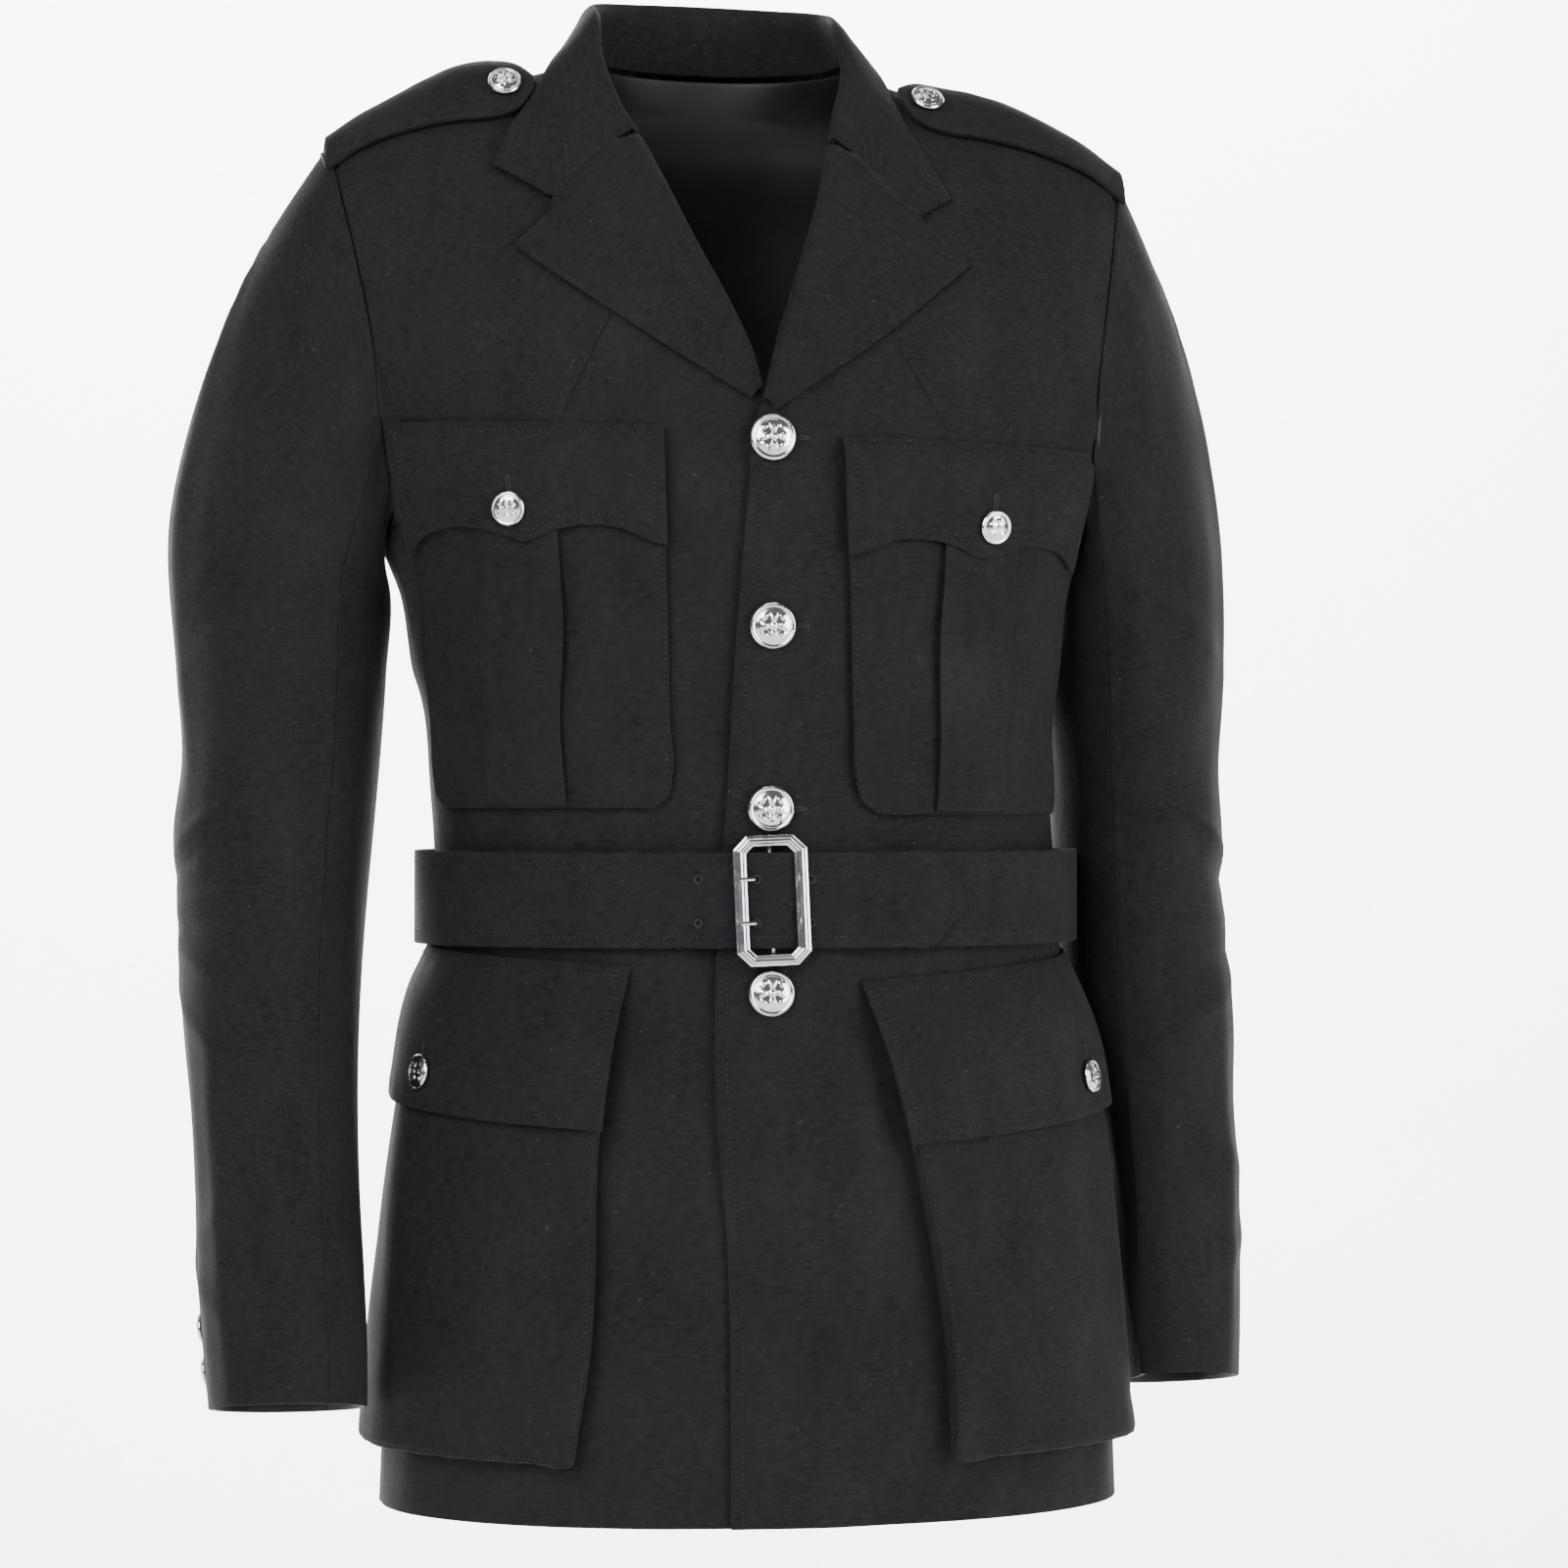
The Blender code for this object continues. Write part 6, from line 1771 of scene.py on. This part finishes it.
def add_sleeve_seam(side, word):
    """The sleeve's turned-in seam, which closes the armhole from inside."""
    ring = np.array([lean(sleeve_point(side, FRONT_SEAM - 360 * k / SEAM_STEPS, 0))
                     for k in range(SEAM_STEPS + 1)])
    inward = ring[:-1].mean(0) - ring
    inward[:, 0] = 0
    inward /= np.linalg.norm(inward, axis=1)[:, None]
    to_body = np.array([-side, 0.0, 0.0])
    rows = [ring + inward * mm(depth) + to_body * mm(reach)
            for depth, reach in ((3.0, -3.0), (3.4, 0.0), (4.4, 5.0), (5.4, 11.0))]
    band = np.stack(rows, axis=1)
    thing = grid_object(f"cloth_seam_{word}", band, [INSIDE], run_lengths(band, 0).mean(1),
                        run_lengths(band, 1).mean(0))
    bm = bmesh.new()
    bm.from_mesh(thing.data)
    bmesh.ops.remove_doubles(bm, verts=bm.verts, dist=0.01 * MM)
    bm.to_mesh(thing.data)
    bm.free()
    wall = thing.modifiers.new("cloth wall", "SOLIDIFY")
    wall.thickness = SEAM_WALL
    wall.offset = 0
    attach(thing, "root")
    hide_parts(f"sleeve_top_{word}")
    PIECES[f"sleeve_top_{word}"]["with"].append(thing)


def dart(name, host, top, bottom):
    """A pressed dart: a fine seam that shows as a narrow shadow."""
    bm = bmesh.new()
    line = [snap(host, (top[0] + (bottom[0] - top[0]) * t, -0.11, top[1] + (bottom[1] - top[1]) * t))
            for t in np.linspace(0, 1, 24)]
    ribbon(bm, line, 1.2 * MM, 0.12 * MM)
    finish_mesh(f"dart_{name}", bm, PAINTED_SHADE, host)


add_front(RIGHT, "front_right")
add_front(LEFT, "front_left")
add_back()
add_collar()
for SIDE, WORD in ((RIGHT, "right"), (LEFT, "left")):
    add_lapel(SIDE, f"lapel_{WORD}")
    add_sleeve_half(SIDE, f"sleeve_top_{WORD}", FRONT_SEAM, BACK_SEAM, TOP_COLUMNS)
    add_sleeve_half(SIDE, f"sleeve_under_{WORD}", BACK_SEAM, FRONT_SEAM - 360, UNDER_COLUMNS)
    add_epaulette(SIDE, f"epaulette_{WORD}")
    add_breast_pocket(SIDE, f"breast_pocket_{WORD}")
    add_pleat(SIDE, WORD)
    add_breast_flap(SIDE, f"breast_flap_{WORD}")
    add_hip_pocket(SIDE, f"hip_pocket_{WORD}")
    add_hip_flap(SIDE, f"hip_flap_{WORD}")
for NUMBER, (TOP_X, TOP_Z, LOW_X, LOW_Z) in enumerate(DARTS):
    dart(NUMBER, "front_right" if TOP_X < 0 else "front_left", (mm(TOP_X), mm(TOP_Z)),
         (mm(LOW_X), mm(LOW_Z)))
for SIDE, WORD in ((RIGHT, "right"), (LEFT, "left")):
    add_gorge(SIDE, WORD)
    add_sleeve_seam(SIDE, WORD)
add_belt()
add_buckle()
add_buttons()
add_sewing()
for X in EYELETS_X:
    for NUMBER, RISE in enumerate((EYELET_RISE, -EYELET_RISE)):
        eyelet(f"{round(X / MM)}_{NUMBER}", "belt", (X, -0.125, BELT_Z + RISE), 1.9 * MM)


# Stage, camera and light.

CAMERA_LENS = 106.9
CAMERA_PLACE = (-0.287, -2.484, -0.3894)
CAMERA_TURN = (radians(90), 0.0, radians(-7.3))
FLOOR_Z = -1.10
WALL_Y = 2.6
BEND = 1.4


def add_stage():
    """A seamless pale sweep: floor, bend and wall."""
    bm = bmesh.new()
    bmesh.ops.create_grid(bm, x_segments=2, y_segments=60, size=0.5)
    for vert in bm.verts:
        t = vert.co.y + 0.5
        x = vert.co.x * 14.0
        if t < 0.4:
            vert.co = (x, -5.0 + (WALL_Y - BEND + 5.0) * t / 0.4, FLOOR_Z)
        elif t < 0.75:
            turn = pi / 2 * (t - 0.4) / 0.35
            vert.co = (x, WALL_Y - BEND + BEND * sin(turn), FLOOR_Z + BEND * (1 - cos(turn)))
        else:
            vert.co = (x, WALL_Y, FLOOR_Z + BEND + 5.0 * (t - 0.75) / 0.25)
    for face in bm.faces:
        face.smooth = True
    mesh = bpy.data.meshes.new("sweep")
    bm.to_mesh(mesh)
    bm.free()
    n = Nodes("pale_sweep")
    grain = n.noise(n.coords.outputs["Object"], 3.0, 2.0)
    n.set(Base_Color=n.mix(grain, srgb("#eceded"), srgb("#f2f2f1")), Roughness=0.9)
    mesh.materials.append(n.material)
    sweep = bpy.data.objects.new("sweep", mesh)
    bpy.context.scene.collection.objects.link(sweep)


def add_light(name, place, target, size, power, colour="#ffffff"):
    light = bpy.data.lights.new(name, "AREA")
    light.shape = "RECTANGLE"
    light.size, light.size_y = size
    light.energy = power
    light.color = srgb(colour)[:3]
    lamp = bpy.data.objects.new(name, light)
    bpy.context.scene.collection.objects.link(lamp)
    lamp.location = place
    lamp.rotation_euler = (Vector(target) - Vector(place)).to_track_quat("-Z", "Y").to_euler()


def add_camera():
    data = bpy.data.cameras.new("camera")
    data.lens = CAMERA_LENS
    data.sensor_width = 36.0
    camera = bpy.data.objects.new("camera", data)
    camera.location = CAMERA_PLACE
    camera.rotation_euler = CAMERA_TURN
    bpy.context.scene.collection.objects.link(camera)
    bpy.context.scene.camera = camera


add_stage()
add_camera()
MIDDLE = (0.0, 0.0, -0.4)
add_light("key", (-1.7, -2.6, 1.1), MIDDLE, (2.2, 2.2), 135)
add_light("fill", (2.3, -2.2, 0.1), MIDDLE, (1.8, 2.2), 105)
add_light("top", (0.0, -0.4, 2.2), MIDDLE, (1.6, 1.0), 12)
add_light("rim_left", (2.0, 1.4, 0.6), MIDDLE, (0.7, 1.6), 14)
add_light("rim_right", (-2.1, 1.3, 0.5), MIDDLE, (0.7, 1.6), 14)
add_light("wall", (0.0, 0.9, 1.2), (0.0, 2.6, 0.4), (4.0, 0.6), 520)
world = bpy.data.worlds.new("soft room")
bpy.context.scene.world = world
world.use_nodes = True
world.node_tree.nodes["Background"].inputs["Color"].default_value = srgb("#dfe3e8")
world.node_tree.nodes["Background"].inputs["Strength"].default_value = 0.2
